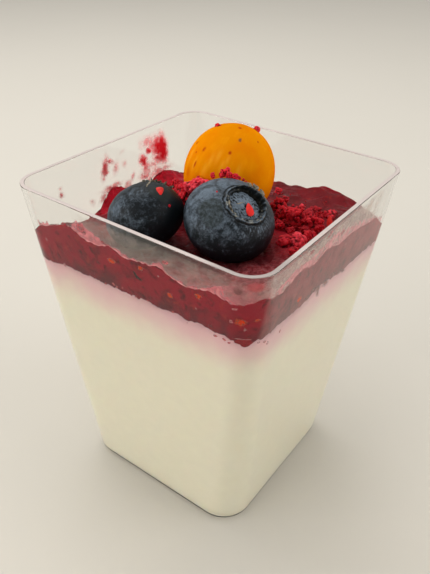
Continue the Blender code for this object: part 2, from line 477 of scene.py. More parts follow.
class Recipe:
    """A Principled material and short calls that add nodes to it."""

    def __init__(self, name):
        self.material = bpy.data.materials.new(name)
        self.material.use_nodes = True
        self.tree = self.material.node_tree
        self.shader = self.tree.nodes["Principled BSDF"]
        self.place = self.add("ShaderNodeTexCoord").outputs["Object"]

    def add(self, kind, **settings):
        """Add a node and set its own values."""
        node = self.tree.nodes.new(kind)
        for key, value in settings.items():
            setattr(node, key, value)
        return node

    def feed(self, socket, value):
        """Link a socket to an output, or set it to a plain value."""
        if isinstance(value, bpy.types.NodeSocket):
            self.tree.links.new(value, socket)
        elif hasattr(socket.default_value, "__len__") and len(value) == 3 and len(socket.default_value) == 4:
            socket.default_value = (*value, 1.0)
        else:
            socket.default_value = value

    def set(self, **values):
        """Set or link the shader's sockets, named with underscores for spaces."""
        for key, value in values.items():
            self.feed(self.shader.inputs[key.replace("_", " ")], value)

    def attribute(self, name):
        """Number painted on the mesh."""
        return self.add("ShaderNodeAttribute", attribute_name=name).outputs["Fac"]

    def noise(self, size, detail=3.0, roughness=0.5, distortion=0.0, vector=None):
        """Noise from 0 to 1 with features of a size in metres."""
        node = self.add("ShaderNodeTexNoise")
        self.feed(node.inputs["Vector"], vector or self.place)
        node.inputs["Scale"].default_value = 1.0 / size
        node.inputs["Detail"].default_value = detail
        node.inputs["Roughness"].default_value = roughness
        node.inputs["Distortion"].default_value = distortion
        return node.outputs["Fac"]

    def cells(self, size):
        """Distance to scattered points a size apart."""
        node = self.add("ShaderNodeTexVoronoi")
        self.feed(node.inputs["Vector"], self.place)
        node.inputs["Scale"].default_value = 1.0 / size
        return node.outputs["Distance"]

    def ramp(self, value, low, high, start=0.0, end=1.0):
        """Map a value from low..high to start..end with soft ends."""
        node = self.add("ShaderNodeMapRange", interpolation_type="SMOOTHSTEP")
        self.feed(node.inputs["Value"], value)
        node.inputs["From Min"].default_value = low
        node.inputs["From Max"].default_value = high
        node.inputs["To Min"].default_value = start
        node.inputs["To Max"].default_value = end
        return node.outputs["Result"]

    def maths(self, operation, first, second):
        """One sum on two values."""
        node = self.add("ShaderNodeMath", operation=operation)
        self.feed(node.inputs[0], first)
        self.feed(node.inputs[1], second)
        return node.outputs[0]

    def plus(self, first, second):
        """Two values added."""
        return self.maths("ADD", first, second)

    def minus(self, first, second):
        """The second value taken from the first."""
        return self.maths("SUBTRACT", first, second)

    def times(self, first, second):
        """Two values multiplied."""
        return self.maths("MULTIPLY", first, second)

    def blend(self, factor, first, second):
        """Mix two colours."""
        node = self.add("ShaderNodeMix", data_type="RGBA")
        self.feed(node.inputs[0], factor)
        self.feed(node.inputs[6], first)
        self.feed(node.inputs[7], second)
        return node.outputs[2]

    def along(self, axis):
        """Signed distance from the origin along an axis."""
        node = self.add("ShaderNodeVectorMath", operation="DOT_PRODUCT")
        self.feed(node.inputs[0], self.place)
        node.inputs[1].default_value = axis
        return node.outputs["Value"]

    def bump(self, height, distance, strength):
        """Relief from a 0 to 1 height, that deep in metres."""
        node = self.add("ShaderNodeBump")
        self.feed(node.inputs["Height"], height)
        node.inputs["Distance"].default_value = distance
        node.inputs["Strength"].default_value = strength
        return node.outputs["Normal"]


# The cup and its fillings


def wall_ring(height, inset, side=SIDE_STEPS, bend=CORNER_STEPS):
    """Ring of the rounded square that the cup has at each height, moved in by inset."""
    cup = bpy.context.scene.dessert_cup
    steps = 4 * (side + bend)
    height = np.broadcast_to(np.asarray(height, float), (steps,))
    share = height / CUP_HEIGHT
    half = cup.foot_half + (RIM_HALF - cup.foot_half) * share - inset
    corner = np.maximum(cup.foot_corner + (cup.rim_corner - cup.foot_corner) * share - inset, 0.1 * MM)
    straight = half - corner
    quarter, local = np.divmod(np.arange(steps), side + bend)
    on_side = local < side
    angle = np.pi / 2 * (local - side) / bend
    x = np.where(on_side, half, straight + corner * np.cos(angle))
    y = np.where(on_side, straight * (2 * local / side - 1), straight + corner * np.sin(angle))
    return np.stack([*turned_by(x, y, quarter * np.pi / 2), height], axis=1)


def swells(x, y, places):
    """Height that a list of swells adds."""
    total = np.zeros_like(x)
    for centre_x, centre_y, rise, reach in places:
        away = np.hypot(x - centre_x * MM, y - centre_y * MM)
        total += rise * MM * bell(away, 0.0, reach * MM)
    return total


def cream_top(x, y):
    """Height of the panna cotta's leaning surface, which is also the coulis's underside."""
    cream = bpy.context.scene.dessert_cream
    level = cream.level + cream.rise_x * x + cream.rise_y * y + swells(x, y, CREAM_SWELLS)
    level += 0.25 * MM * np.sin(x / (10.5 * MM) + 1.0) * np.cos(y / (10.5 * MM))
    spot = np.stack([x, y], axis=-1)
    level += 0.16 * MM * waves(spot, 5 * MM, 11) + 0.16 * MM * waves(spot, 1.9 * MM, 12)
    return level + 0.16 * MM * waves(spot, 0.9 * MM, 13, 14)


def front_climb(x, y):
    """Share of the way up to the front edge's level, 1 on the front walls and 0 far from them."""
    coulis = bpy.context.scene.dessert_coulis
    inside = RIM_HALF - bpy.context.scene.dessert_cup.wall
    left_front = np.exp(-np.maximum(inside + y, 0.0) / coulis.edge_reach)
    left_front = left_front * smooth_step(0.0, 9 * MM, inside + x)
    right_front = np.exp(-np.maximum(inside - x, 0.0) / coulis.edge_reach)
    right_front = right_front * smooth_step(0.0, 31 * MM, inside - y)
    return 1 - (1 - left_front) * (1 - right_front)


def coulis_folds(x, y):
    """Lumps, folds and grain of the coulis's surface."""
    spot = np.stack([x, y], axis=-1)
    back_right = smooth_step(-2 * MM, 10 * MM, x) * smooth_step(6 * MM, 16 * MM, y)
    lumps = 0.3 * waves(spot, 6 * MM, 21) + 0.13 * waves(spot, 2.8 * MM, 22) * (1 - 0.7 * back_right)
    rough = 1 + 1.6 * smooth_step(14 * MM, 26 * MM, x - y) + 1.5 * bell(x, -25 * MM, 3 * MM)
    grain = 0.05 * waves(spot, 1.3 * MM, 23) + 0.035 * waves(spot, 0.8 * MM, 24, 14)
    grain = grain * (1 - 0.8 * back_right) * rough
    folds = 1 - np.abs(waves(spot * (1.0, 1.5), 11 * MM, 25))
    return (lumps + grain + 0.6 * back_right * (folds**2 - 0.4)) * MM


def coulis_top(x, y):
    """Height of the coulis's surface, before the berries press into it."""
    coulis = bpy.context.scene.dessert_coulis
    level = coulis.level + coulis.rise_x * x + coulis.rise_y * y + swells(x, y, COULIS_SWELLS)
    ripple = 0.5 * MM * np.cos(TURN * (x + y + RIM_HALF + 2.3 * MM) / (10.5 * MM))
    climb = front_climb(x, y)
    edge = coulis.edge_level + ripple + swells(x, y, EDGE_SWELLS)
    level = level + (edge - level) * climb
    spot = np.stack([x, y], axis=-1)
    ragged = 0.36 * (waves(spot, 1.9 * MM, 26, 14) + waves(spot, 1.0 * MM, 27, 14)) * MM
    return level + coulis_folds(x, y) * (1 - 0.5 * climb) + ragged * smooth_step(0.8, 1.0, climb)


def edge_ring(surface, inset, side=SIDE_STEPS, bend=CORNER_STEPS):
    """Ring where a surface meets the wall; the walls are steep, so a few steps settle it."""
    first_guess = 0.85 * CUP_HEIGHT
    height = np.full(4 * (side + bend), first_guess)
    for _ in range(EDGE_PASSES):
        ring = wall_ring(height, inset, side, bend)
        height = surface(ring[:, 0], ring[:, 1])
    return wall_ring(height, inset, side, bend)


def on_wall(side, along, height, inset):
    """Points on one wall and round its corners, from how far along it they are and their height."""
    cup = bpy.context.scene.dessert_cup
    share = height / CUP_HEIGHT
    corner = cup.foot_corner + (cup.rim_corner - cup.foot_corner) * share
    straight = cup.foot_half + (RIM_HALF - cup.foot_half) * share - corner
    angle = np.maximum(np.abs(along) - straight, 0.0) / corner
    along = np.clip(along, -straight, straight) + np.sign(along) * (corner - inset) * np.sin(angle)
    half = straight + (corner - inset) * np.cos(angle)
    places = {
        "left_front": (along, -half),
        "right_front": (half, along),
        "right_back": (along, half),
        "left_back": (-half, along),
    }
    x, y = places[side]
    return np.stack([x, y, height + 0 * along], axis=-1)


def surface_rings(surface, inset, count):
    """Rings of a surface from near its middle out to the wall."""
    edge = edge_ring(surface, inset)
    rings = []
    for number in range(1, count):
        x, y = edge[:, 0] * number / count, edge[:, 1] * number / count
        rings.append(np.stack([x, y, surface(x, y)], axis=1))
    return rings + [edge]


def middle(surface):
    """Point of a surface on the cup's own line."""
    return (0.0, 0.0, float(surface(np.zeros(1), np.zeros(1))[0]))


def side_rings(low, high, count):
    """Rings between two edges, without those edges."""
    return [low + (high - low) * number / count for number in range(1, count)]


def tight_ends(low, high):
    """Heights between two ends, close together at both so that the shading stays flat."""
    steps = np.array([0.06, 0.2, 0.5, 1.2]) * MM
    return np.concatenate([low + steps, np.linspace(low, high, 20)[1:-1], high - steps[::-1]])


def lip_rings():
    """Soft bead along the rim, a little narrower than the wall."""
    cup = bpy.context.scene.dessert_cup
    count, half_width = 20, 0.37 * MM
    rings = []
    for angle in np.arange(count) / count * TURN:
        across, along = math.cos(angle), math.sin(angle)
        across, along = (math.copysign(abs(part) ** 0.7, part) for part in (across, along))
        inset = cup.wall / 2 - half_width * across
        rings.append(wall_ring(CUP_HEIGHT + cup.lip_height / 2 * (along - 1), inset))
    return rings


def rounded_rings(angles, height, rise, inset, away):
    """Rings round a quarter-round edge, which leaves a height and an inset by its rise and away."""
    rings = []
    for angle in angles:
        rings.append(wall_ring(height + rise * (1 - math.sin(angle)), inset + away * (1 - math.cos(angle))))
    return rings


def cup_rings():
    """Outside from the foot up, over the rounded rim, and down the inside to the floor."""
    cup = bpy.context.scene.dessert_cup
    foot, rim, inner = cup.foot_fillet, cup.rim_round, INNER_FILLET
    top = CUP_HEIGHT - cup.lip_height / 2
    quarter = np.pi / 2
    rings = rounded_rings(np.linspace(quarter, 0, 9), 0.0, foot, 0.0, foot)
    rings += [wall_ring(height, 0.0) for height in tight_ends(foot, top - rim)]
    rings += rounded_rings(np.linspace(0, quarter, 5)[1:], top, -rim, 0.0, rim)
    rings += rounded_rings(np.linspace(quarter, 0, 5), top, -rim, cup.wall, -rim)
    rings += [wall_ring(height, cup.wall) for height in tight_ends(cup.floor + inner, top - rim)[::-1]]
    return rings + rounded_rings(np.linspace(0, quarter, 6)[1:], cup.floor, inner, cup.wall, inner)


def plastic_material():
    """Clear moulded plastic: a faint flow ripple and a slightly uneven gloss."""
    cup = bpy.context.scene.dessert_cup
    recipe = Recipe("clear_plastic_shell")
    ripple = recipe.noise(14 * MM, detail=1.0)
    haze_and_reflection = recipe.noise(5 * MM, detail=4.0)
    recipe.set(
        Base_Color=recipe.blend(haze_and_reflection, cup.tint, shaded(cup.tint, 0.97)),
        Roughness=recipe.ramp(haze_and_reflection, 0.35, 0.75, cup.roughness * 0.6, cup.roughness * 1.6),
        Transmission_Weight=1.0,
        IOR=1.36,
        Normal=recipe.bump(ripple, 0.1 * MM, 0.4),
    )
    return recipe.material


def lip_material():
    """Frosted-looking bead: its whitish colour is a painted highlight for the light that the clear plastic's
    edge gathers, with painted shade towards the front corner.
    """
    cup = bpy.context.scene.dessert_cup
    recipe = Recipe("clear_plastic_lip")
    cloud = recipe.noise(6 * MM, detail=2.0)
    # Painted shade: the bead darkens towards the front corner.
    corner = recipe.ramp(recipe.along((0.7071, -0.7071, 0.0)), 30 * MM, 34 * MM, 0.0, 0.7)
    colour = recipe.blend(cloud, cup.lip_colour, shaded(cup.lip_colour, 1.08))
    recipe.set(
        Base_Color=recipe.blend(corner, colour, shaded(cup.lip_colour, 0.6)),
        Roughness=recipe.ramp(cloud, 0.3, 0.7, 0.25, 0.4),
        Specular_IOR_Level=0.3,
        Alpha=0.85,
        Normal=recipe.bump(recipe.noise(2 * MM), 0.05 * MM, 0.4),
    )
    return recipe.material


def cream_material():
    """Set cream: ivory, blushing pink up to the coulis, with faint mottling."""
    cream = bpy.context.scene.dessert_cream
    recipe = Recipe("set_cream")
    below = recipe.minus(cream.level, recipe.along((-cream.rise_x, -cream.rise_y, 1.0)))
    cloud = recipe.noise(7 * MM, detail=2.0)
    drift = recipe.times(recipe.minus(cloud, 0.5), 5 * MM)
    depth = recipe.plus(below, drift)
    blush = recipe.ramp(depth, -1 * MM, cream.blush_depth, 1.0, 0.0)
    mottle = recipe.noise(2.5 * MM, detail=4.0, roughness=0.6)
    ivory = recipe.blend(mottle, cream.ivory, shaded(cream.ivory, 0.94))
    recipe.set(
        Base_Color=recipe.blend(blush, ivory, cream.blush),
        Roughness=recipe.ramp(mottle, 0.3, 0.7, 0.45, 0.6),
        Specular_IOR_Level=0.1,
        Subsurface_Weight=0.25,
        Subsurface_Radius=(1.0, 0.7, 0.45),
        Subsurface_Scale=1.2 * MM,
        Normal=recipe.bump(mottle, 0.05 * MM, 0.3),
    )
    return recipe.material


def coulis_material():
    """Fruit coulis: deep red, darker and browner in patches, wet on its lumps, with painted glints, painted
    shade round the berries and a painted reflection against the right front wall.
    """
    coulis = bpy.context.scene.dessert_coulis
    recipe = Recipe("fruit_coulis")
    sunken = (0.11, 0.016, 0.022)
    glint = (0.45, 0.03, 0.015)
    beaded = (0.31, 0.085, 0.09)
    shadow = (0.03, 0.005, 0.006)
    painted_reflection = (0.62, 0.5, 0.44)
    pink_foot = (0.42, 0.14, 0.15)
    pit = (0.02, 0.004, 0.004)
    patches = recipe.noise(4.5 * MM, detail=4.0, roughness=0.6, distortion=0.6)
    pulp = recipe.noise(0.9 * MM, detail=4.0, roughness=0.65)
    grains = recipe.noise(1.6 * MM, roughness=0.6)
    spots = recipe.noise(1.5 * MM, roughness=0.55)
    beads = recipe.noise(0.8 * MM, detail=4.0, roughness=0.7, distortion=0.5)
    face, deep = recipe.attribute("face"), recipe.attribute("deep")
    colour = recipe.blend(face, coulis.red, coulis.face_red)
    dull = recipe.blend(face, coulis.dark, shaded(coulis.face_red, 0.2))
    colour = recipe.blend(recipe.ramp(patches, 0.46, 0.72, 0.0, 0.6), colour, dull)
    low = recipe.plus(deep, recipe.times(recipe.minus(patches, 0.5), 1.2))
    colour = recipe.blend(recipe.ramp(low, 0.4, 1.15, 0.0, 0.8), colour, sunken)
    colour = recipe.blend(recipe.ramp(spots, 0.56, 0.7, 0.0, 0.7), colour, dull)
    colour = recipe.blend(recipe.ramp(spots, 0.42, 0.3, 0.0, 0.3), colour, glint)
    beading = recipe.times(recipe.attribute("beaded"), recipe.ramp(beads, 0.4, 0.62, 0.0, 0.9))
    colour = recipe.blend(beading, colour, beaded)
    # Painted shade: the coulis darkens round the berries.
    colour = recipe.blend(recipe.attribute("berry_shade"), colour, shadow)
    # Painted reflection: a pale grey tint in patches on the face against the right front wall.
    haze_and_reflection = recipe.times(recipe.attribute("haze_and_reflection"), recipe.ramp(patches, 0.3, 0.7, 0.2, 0.13))
    colour = recipe.blend(haze_and_reflection, colour, painted_reflection)
    colour = recipe.blend(recipe.ramp(deep, 0.93, 1.0, 0.0, 0.75), colour, pink_foot)
    powder = recipe.times(recipe.attribute("dusted"), recipe.ramp(grains, 0.3, 0.55, 0.5, 1.0))
    colour = recipe.blend(powder, colour, coulis.dusted)
    open_pulp = recipe.times(pulp, recipe.minus(1.0, face))
    recipe.set(
        Base_Color=recipe.blend(recipe.ramp(pulp, 0.55, 0.8, 0.0, 0.35), colour, pit),
        Roughness=recipe.ramp(pulp, 0.3, 0.7, 0.3, 0.55),
        Specular_IOR_Level=0.04,
        Subsurface_Weight=0.08,
        Subsurface_Radius=(1.0, 0.15, 0.1),
        Subsurface_Scale=0.8 * MM,
        Normal=recipe.bump(open_pulp, 0.16 * MM, 0.8),
    )
    return recipe.material


class DESSERT_OT_cup(bpy.types.Operator):
    """Mould the clear cup with its rounded rim"""

    bl_idname = "dessert.cup"
    bl_label = "Cup"

    def execute(self, context):
        floor = context.scene.dessert_cup.floor
        mesh = lofted_mesh("cup_shell", (0, 0, 0), cup_rings(), (0, 0, floor))
        new_piece("cup_shell", mesh, plastic_material(), "clear_plastic", "cup")
        new_piece("cup_lip", hoop_mesh("cup_lip", lip_rings()), lip_material(), "clear_plastic")
        return {"FINISHED"}


class DESSERT_OT_cream(bpy.types.Operator):
    """Fill the cup with panna cotta up to its leaning surface"""

    bl_idname = "dessert.cream"
    bl_label = "Panna Cotta"

    def execute(self, context):
        cup = context.scene.dessert_cup
        inset = cup.wall - REACH
        base = cup.floor - REACH
        foot = wall_ring(base, inset + 0.2 * MM)
        low = wall_ring(base + 0.2 * MM, inset)
        high = edge_ring(cream_top, inset)
        top = surface_rings(cream_top, inset, CREAM_TOP_RINGS)
        rings = [foot, low] + side_rings(low, high, CREAM_SIDE_RINGS) + top[::-1]
        mesh = lofted_mesh("cream_filling", (0, 0, base), rings, middle(cream_top))
        new_piece("cream_filling", mesh, cream_material(), "cream", "panna_cotta")
        return {"FINISHED"}


def coulis_fields(rings, first, count):
    """What the coulis's material reads, with the rings against the wall from first, in that count."""
    x, y = rings[..., 0], rings[..., 1]
    face, deep = np.zeros_like(x), np.zeros_like(x)
    face[first : first + count] = 1.0
    deep[first : first + count] = np.linspace(1, 0, count)[:, None]
    on_right = smooth_step(-23.4 * MM, -22.4 * MM, y) * smooth_step(20 * MM, 22 * MM, x)
    # Painted shade round each berry where it sits in the coulis.
    berry_shade = np.zeros_like(x)
    for berry in BERRIES:
        away = np.hypot(x - berry.centre.x, y - berry.centre.y) / berry.radius
        berry_shade = np.maximum(berry_shade, 0.4 * (1 - smooth_step(0.8, 1.15, away)) * (1 - face))
    return {
        "face": face,
        "deep": deep,
        # Where a painted reflection pales the coulis face against the right front wall.
        "haze_and_reflection": face * on_right,
        "dusted": np.clip(swells(x, y, DUSTED) / MM * (1 - face), 0, 1),
        "beaded": smooth_step(26 * MM, 38 * MM, x - y) * (1 - face),
        "berry_shade": berry_shade,
    }


class DESSERT_OT_coulis(bpy.types.Operator):
    """Spread the lumpy coulis over the panna cotta"""

    bl_idname = "dessert.coulis"
    bl_label = "Coulis"

    def execute(self, context):
        inset = context.scene.dessert_cup.wall - REACH - 0.01 * MM

        def surface(x, y):
            return press_berries(x, y, coulis_top(x, y))

        under = surface_rings(lambda x, y: cream_top(x, y) - 0.03 * MM, inset, COULIS_UNDER_RINGS)
        over = surface_rings(surface, inset, COULIS_TOP_RINGS)
        sides = side_rings(under[-1], over[-1], COULIS_SIDE_RINGS)
        rings = np.array(under + sides + over[::-1])
        low = cream_top(np.zeros(1), np.zeros(1))[0]
        mesh = lofted_mesh("coulis_layer", (0, 0, low), rings, middle(surface))
        paint_rings(mesh, **coulis_fields(rings, len(under) - 2, COULIS_SIDE_RINGS + 3))
        new_piece("coulis_layer", mesh, coulis_material(), "coulis_red", "coulis")
        return {"FINISHED"}


# Berries


class Berry:
    """A berry's shape: half-lengths along its own axes, turned, and squeezed a little flat."""

    def __init__(self, node, axis, radius, length, press=1.0, press_axis=UP):
        low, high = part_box(node)
        self.node = node
        self.centre = (low + high) / 2
        self.radius = radius * MM
        self.length = length
        turn = axis.to_track_quat("Z", "Y").to_matrix()
        squeeze = Matrix.Scale(press, 3, press_axis)
        self.frame = np.array(squeeze @ turn)

    def placed(self, points):
        """Points of the berry's own frame, in radii, moved to where the berry lies."""
        return np.asarray(points) * self.radius @ self.frame.T + np.array(self.centre)

    def underside(self, x, y):
        """Height of its lower surface at each x and y, and whether it lies over them."""
        solid = self.frame @ np.diag([self.radius, self.radius, self.radius * self.length])
        form = np.linalg.inv(solid @ solid.T)
        across_x, across_y = x - self.centre.x, y - self.centre.y
        b = 2 * (form[0, 2] * across_x + form[1, 2] * across_y)
        c = form[0, 0] * across_x**2 + 2 * form[0, 1] * across_x * across_y + form[1, 1] * across_y**2 - 1
        inside = b * b - 4 * form[2, 2] * c
        drop = (-b - np.sqrt(np.maximum(inside, 0.0))) / (2 * form[2, 2])
        return self.centre.z + drop, inside > 0


FRONT_BERRY = Berry("blueberry_front", direction(50.6, -10.3), 8.3, 0.787, 0.89)
LEFT_BERRY = Berry("blueberry_left", direction(39.4, 116.1), 7.32, 0.847, 0.836, direction(36.8, 184.4))
PHYSALIS_AXIS = direction(65.3, 71.0)
PHYSALIS = Berry("physalis", PHYSALIS_AXIS, 8.9, 1.08)
BERRIES = (FRONT_BERRY, LEFT_BERRY, PHYSALIS)


def press_berries(x, y, level):
    """Press each berry's seat into a surface."""
    for berry in BERRIES:
        under, over_it = berry.underside(x, y)
        level = np.where(over_it, np.minimum(level, under + 0.02 * MM), level)
    return level


# Steps round each berry, and rows over a blueberry's crown, over the rest of it and over the physalis
BERRY_STEPS = 300
CROWN_ROWS = 90
BODY_ROWS = 100
PHYSALIS_ROWS = 190

# Parts of a blueberry's crown, as distances from its middle in berry radii
CROWN_DISC = 0.35
CROWN_INNER_LINE = 0.362
CROWN_RIM = 0.447
CROWN_GROOVE = 0.487
CROWN_EDGE = 0.6


def crown_profile(reach, azimuth, seed, stand, stand_turn):
    """Relief of a blueberry's crown, in radii, with how dark, pale and frosted its parts are; the dark mixes
    the crown's own dark grooves with painted shade in them and a painted shadow in the moat.

    A torn rim stands around a sunken disc, highest on one side, given by stand and stand_turn.
    """
    circle = np.stack([np.cos(azimuth), np.sin(azimuth)], axis=-1)
    spot = reach[..., None] * circle - np.array([0.03, 0.035]) * smooth_step(0.0, 0.3, reach)[..., None]
    from_disc = np.linalg.norm(spot, axis=-1)
    ragged, torn = waves(circle, 1.1, seed, 12), waves(circle, 0.32, seed + 1, 12)
    fine = waves(spot, 0.07, seed + 4, 20)
    ring = from_disc + 0.014 * ragged + 0.007 * torn + 0.003 * fine
    side = toward(azimuth, stand_turn, 1.6)

    flaps = np.abs(np.cos(2.5 * azimuth + 0.5 + 0.5 * ragged)) ** 0.6
    sunk = -0.1 * (1 - smooth_step(0.33, 0.375, ring))
    moat = -(0.02 + 0.06 * side) * band(ring, (0.33, 0.36), (0.4, 0.44))
    dome = 0.04 * np.maximum(1 - (from_disc / 0.32) ** 2, 0.0)
    mottle = (0.005 * fine + 0.008 * waves(spot, 0.2, seed + 6)) * (reach < 0.52)
    hole = 1 - smooth_step(0.015, 0.06, reach)
    rim = bell(ring, CROWN_RIM, 0.02)
    height = 0.004 + 0.008 * flaps + stand * side * (0.85 + 0.2 * flaps + 0.2 * torn)
    groove = bell(ring, CROWN_GROOVE, 0.018) * np.clip(1.1 + 0.3 * ragged + 0.2 * fine, 0.5, 1)
    lines = np.abs(waves(spot, 0.36, seed + 7))
    cracks = (from_disc < CROWN_DISC) * (1 - smooth_step(0.0, 0.1, lines)) * np.clip(0.4 + ragged, 0, 1)
    relief = sunk + moat + dome + mottle - 0.04 * hole + rim * height - 0.016 * groove - 0.008 * cracks

    inner_line = bell(ring, CROWN_INNER_LINE, 0.012) * np.clip(0.9 + 0.5 * torn + 0.3 * fine, 0.3, 1)
    shade = band(ring, (0.335, 0.36), (0.41, 0.435)) * np.clip(1.7 * side - 0.15, 0, 1)
    second = bell(ring, 0.41, 0.009) * np.clip(torn + 0.5 * fine, 0, 1)
    # Dark parts: the crown's own dark grooves, lines, hole and cracks, deepened as painted shade, and the
    # painted shadow band in the moat.
    dark = np.clip(groove + inner_line + shade + hole + 0.8 * second + 0.7 * cracks, 0, 1)

    crest = bell(ring, CROWN_RIM + 0.005, 0.009) * np.clip(0.9 * torn + 0.5 * fine + side - 0.45, 0, 1)
    scratches = bell(ring, 0.4, 0.012) * np.clip(torn + fine - 0.1, 0, 1) * (1 - side)
    pale = np.clip(0.9 * crest + 0.8 * scratches, 0, 1)

    rays = np.clip(waves(circle + 0.9 * spot, 0.17, seed + 8, 14) - 0.2, 0, 1)
    rays *= band(ring, (0.5, 0.56), (0.6, 0.9)) * toward(azimuth, -1.9, 2.5)
    scuffs = waves(spot * (1.0, 0.3), 0.05, seed + 9, 24) + 0.8 * waves(spot, 0.3, seed + 10)
    rubbed_disc = (ring < CROWN_DISC) * 0.5 * (1 + fine + scuffs)
    frost = np.clip(rubbed_disc + 0.5 * rim * (1 - side) + rays, -0.6, 1)
    return relief, dark, pale, frost


def blueberry_mesh(berry, seed, stand, stand_turn, rubbed):
    """Skin with faint dents, and a crown at the top of the berry's own axis."""
    crown = np.linspace(0, CROWN_EDGE, CROWN_ROWS)[1:]
    body = np.linspace(math.acos(CROWN_EDGE), -math.pi / 2, BODY_ROWS)[1:-1]
    reach = np.concatenate([crown, np.cos(body)])
    height = np.concatenate([np.sqrt(1 - crown**2), np.sin(body)])
    azimuth = np.arange(BERRY_STEPS) / BERRY_STEPS * TURN
    reach_grid, turn_grid = np.meshgrid(reach, azimuth, indexing="ij")
    height_grid = np.broadcast_to(height[:, None], reach_grid.shape)
    fields = crown_profile(reach_grid, turn_grid, seed, stand, stand_turn)
    relief, dark, pale, frost = (np.where(height_grid > 0, field, 0.0) for field in fields)
    ball = round_points(reach_grid, turn_grid, height_grid)
    dents = 0.007 * waves(ball, 1.3, seed + 2) + 0.0022 * waves(ball, 0.35, seed + 3)
    skin = ball * (1 + dents[..., None])
    skin[..., 2] = skin[..., 2] * berry.length + relief
    pole = crown_profile(np.zeros(1), np.zeros(1), seed, stand, stand_turn)[0]
    start = berry.placed([0, 0, -berry.length])
    end = berry.placed([0, 0, berry.length + pole[0]])
    mesh = lofted_mesh(berry.node + "_skin", start, berry.placed(skin)[::-1], end)
    away = np.arccos(np.clip(ball @ np.array(rubbed[0]), -1, 1)) + 0.06 * waves(ball, 0.5, seed + 5)
    worn = 1 - smooth_step(rubbed[1] - 0.06, rubbed[1] + 0.03, away)
    paint_rings(mesh, dark=dark[::-1], pale=pale[::-1], frost=frost[::-1], worn=worn[::-1])
    return mesh


def blueberry_material(name, bloom_share, lit_bloom_side):
    """Blue-black skin under a grey-blue bloom, rubbed thin in places; the bloom thickens on the side that
    faces a lamp, as painted light, and painted shade darkens the crown's clefts.
    """
    berries = bpy.context.scene.dessert_berries
    bare_skin = (0.016, 0.021, 0.019)
    cleft_and_shadow = (0.005, 0.005, 0.004)
    dry_edge = (0.27, 0.26, 0.21)
    recipe = Recipe(name)
    clouds = recipe.noise(3.2 * MM, detail=8.0, roughness=0.72, distortion=0.8)
    grain = recipe.noise(0.6 * MM, detail=5.0, roughness=0.75, distortion=0.5)
    facing = recipe.add("ShaderNodeVectorMath", operation="DOT_PRODUCT")
    recipe.feed(facing.inputs[0], recipe.add("ShaderNodeNewGeometry").outputs["Normal"])
    facing.inputs[1].default_value = lit_bloom_side
    dust = recipe.plus(recipe.times(clouds, 1.2), recipe.times(grain, 0.9))
    # Painted light: more bloom on the side that faces a lamp, so that side looks lighter.
    dust = recipe.plus(dust, recipe.times(facing.outputs["Value"], 0.26))
    dust = recipe.plus(dust, recipe.times(recipe.attribute("frost"), 0.4))
    bloom = recipe.ramp(dust, 1.14 - bloom_share, 1.72 - bloom_share)
    colour = recipe.blend(bloom, berries.skin, berries.bloom)
    worn = recipe.times(recipe.attribute("worn"), recipe.ramp(grain, 0.3, 0.7, 0.85, 0.45))
    colour = recipe.blend(worn, colour, bare_skin)
    # Painted shade and the crown's own dark, in its grooves, hole and moat.
    colour = recipe.blend(recipe.attribute("dark"), colour, cleft_and_shadow)
    colour = recipe.blend(recipe.attribute("pale"), colour, dry_edge)
    recipe.set(
        Base_Color=colour,
        Roughness=recipe.ramp(bloom, 0.0, 1.0, 0.45, 0.7),
        Specular_IOR_Level=0.1,
        Normal=recipe.bump(grain, 0.06 * MM, 0.6),
    )
    return recipe.material


# Scraps of torn crown on the blueberries: centre, the way each points, the way it faces,
# length, width and thickness, in millimetres
CROWN_SCRAPS = (
    ((-3.3, -17.3, 74.1), (0.3, 0.2, 0.9), (0.5, -0.8, 0.1), 0.7, 0.5, 0.12),
    ((-2.3, -16.4, 74.2), (-0.2, 0.1, 1.0), (0.6, -0.7, 0.1), 0.9, 0.3, 0.12),
    ((-1.9, -16.0, 74.0), (0.5, 0.5, 0.7), (0.5, -0.8, 0.3), 1.1, 0.6, 0.14),
    ((-1.3, -15.5, 73.9), (0.7, 0.4, 0.6), (0.5, -0.7, 0.4), 0.9, 0.5, 0.12),
    ((-0.6, -14.9, 73.6), (0.4, 0.6, 0.7), (0.6, -0.6, 0.4), 1.0, 0.4, 0.12),
    ((0.3, -14.3, 73.0), (0.6, 0.6, 0.4), (0.6, -0.5, 0.5), 0.8, 0.4, 0.12),
    ((-1.5, -17.9, 74.65), (-0.42, 0.9, -0.06), (0.3, -0.2, 0.9), 2.9, 0.26, 0.2),
    ((-4.1, -24.4, 70.5), (-0.4, -0.2, 0.9), (-0.4, -0.9, 0.1), 1.0, 0.18, 0.12),
    ((13.8, -6.2, 73.0), (-0.5, 0.5, 0.7), (0.6, -0.5, 0.5), 1.3, 0.7, 0.12),
    ((12.6, -6.4, 73.9), (-0.8, 0.2, 0.5), (0.6, -0.6, 0.5), 1.2, 0.6, 0.12),
    ((11.9, -7.3, 74.5), (-0.8, -0.3, 0.3), (0.5, -0.6, 0.6), 1.0, 0.4, 0.12),
    ((12.9, -14.6, 73.8), (0.4, -0.3, -0.85), (0.2, -0.8, 0.5), 1.2, 0.2, 0.12),
    ((13.6, -14.9, 73.1), (0.5, -0.1, -0.85), (0.2, -0.8, 0.5), 1.3, 0.25, 0.12),
    ((13.9, -12.9, 73.7), (0.6, 0.7, 0.2), (0.5, -0.4, 0.8), 1.1, 0.16, 0.1),
)

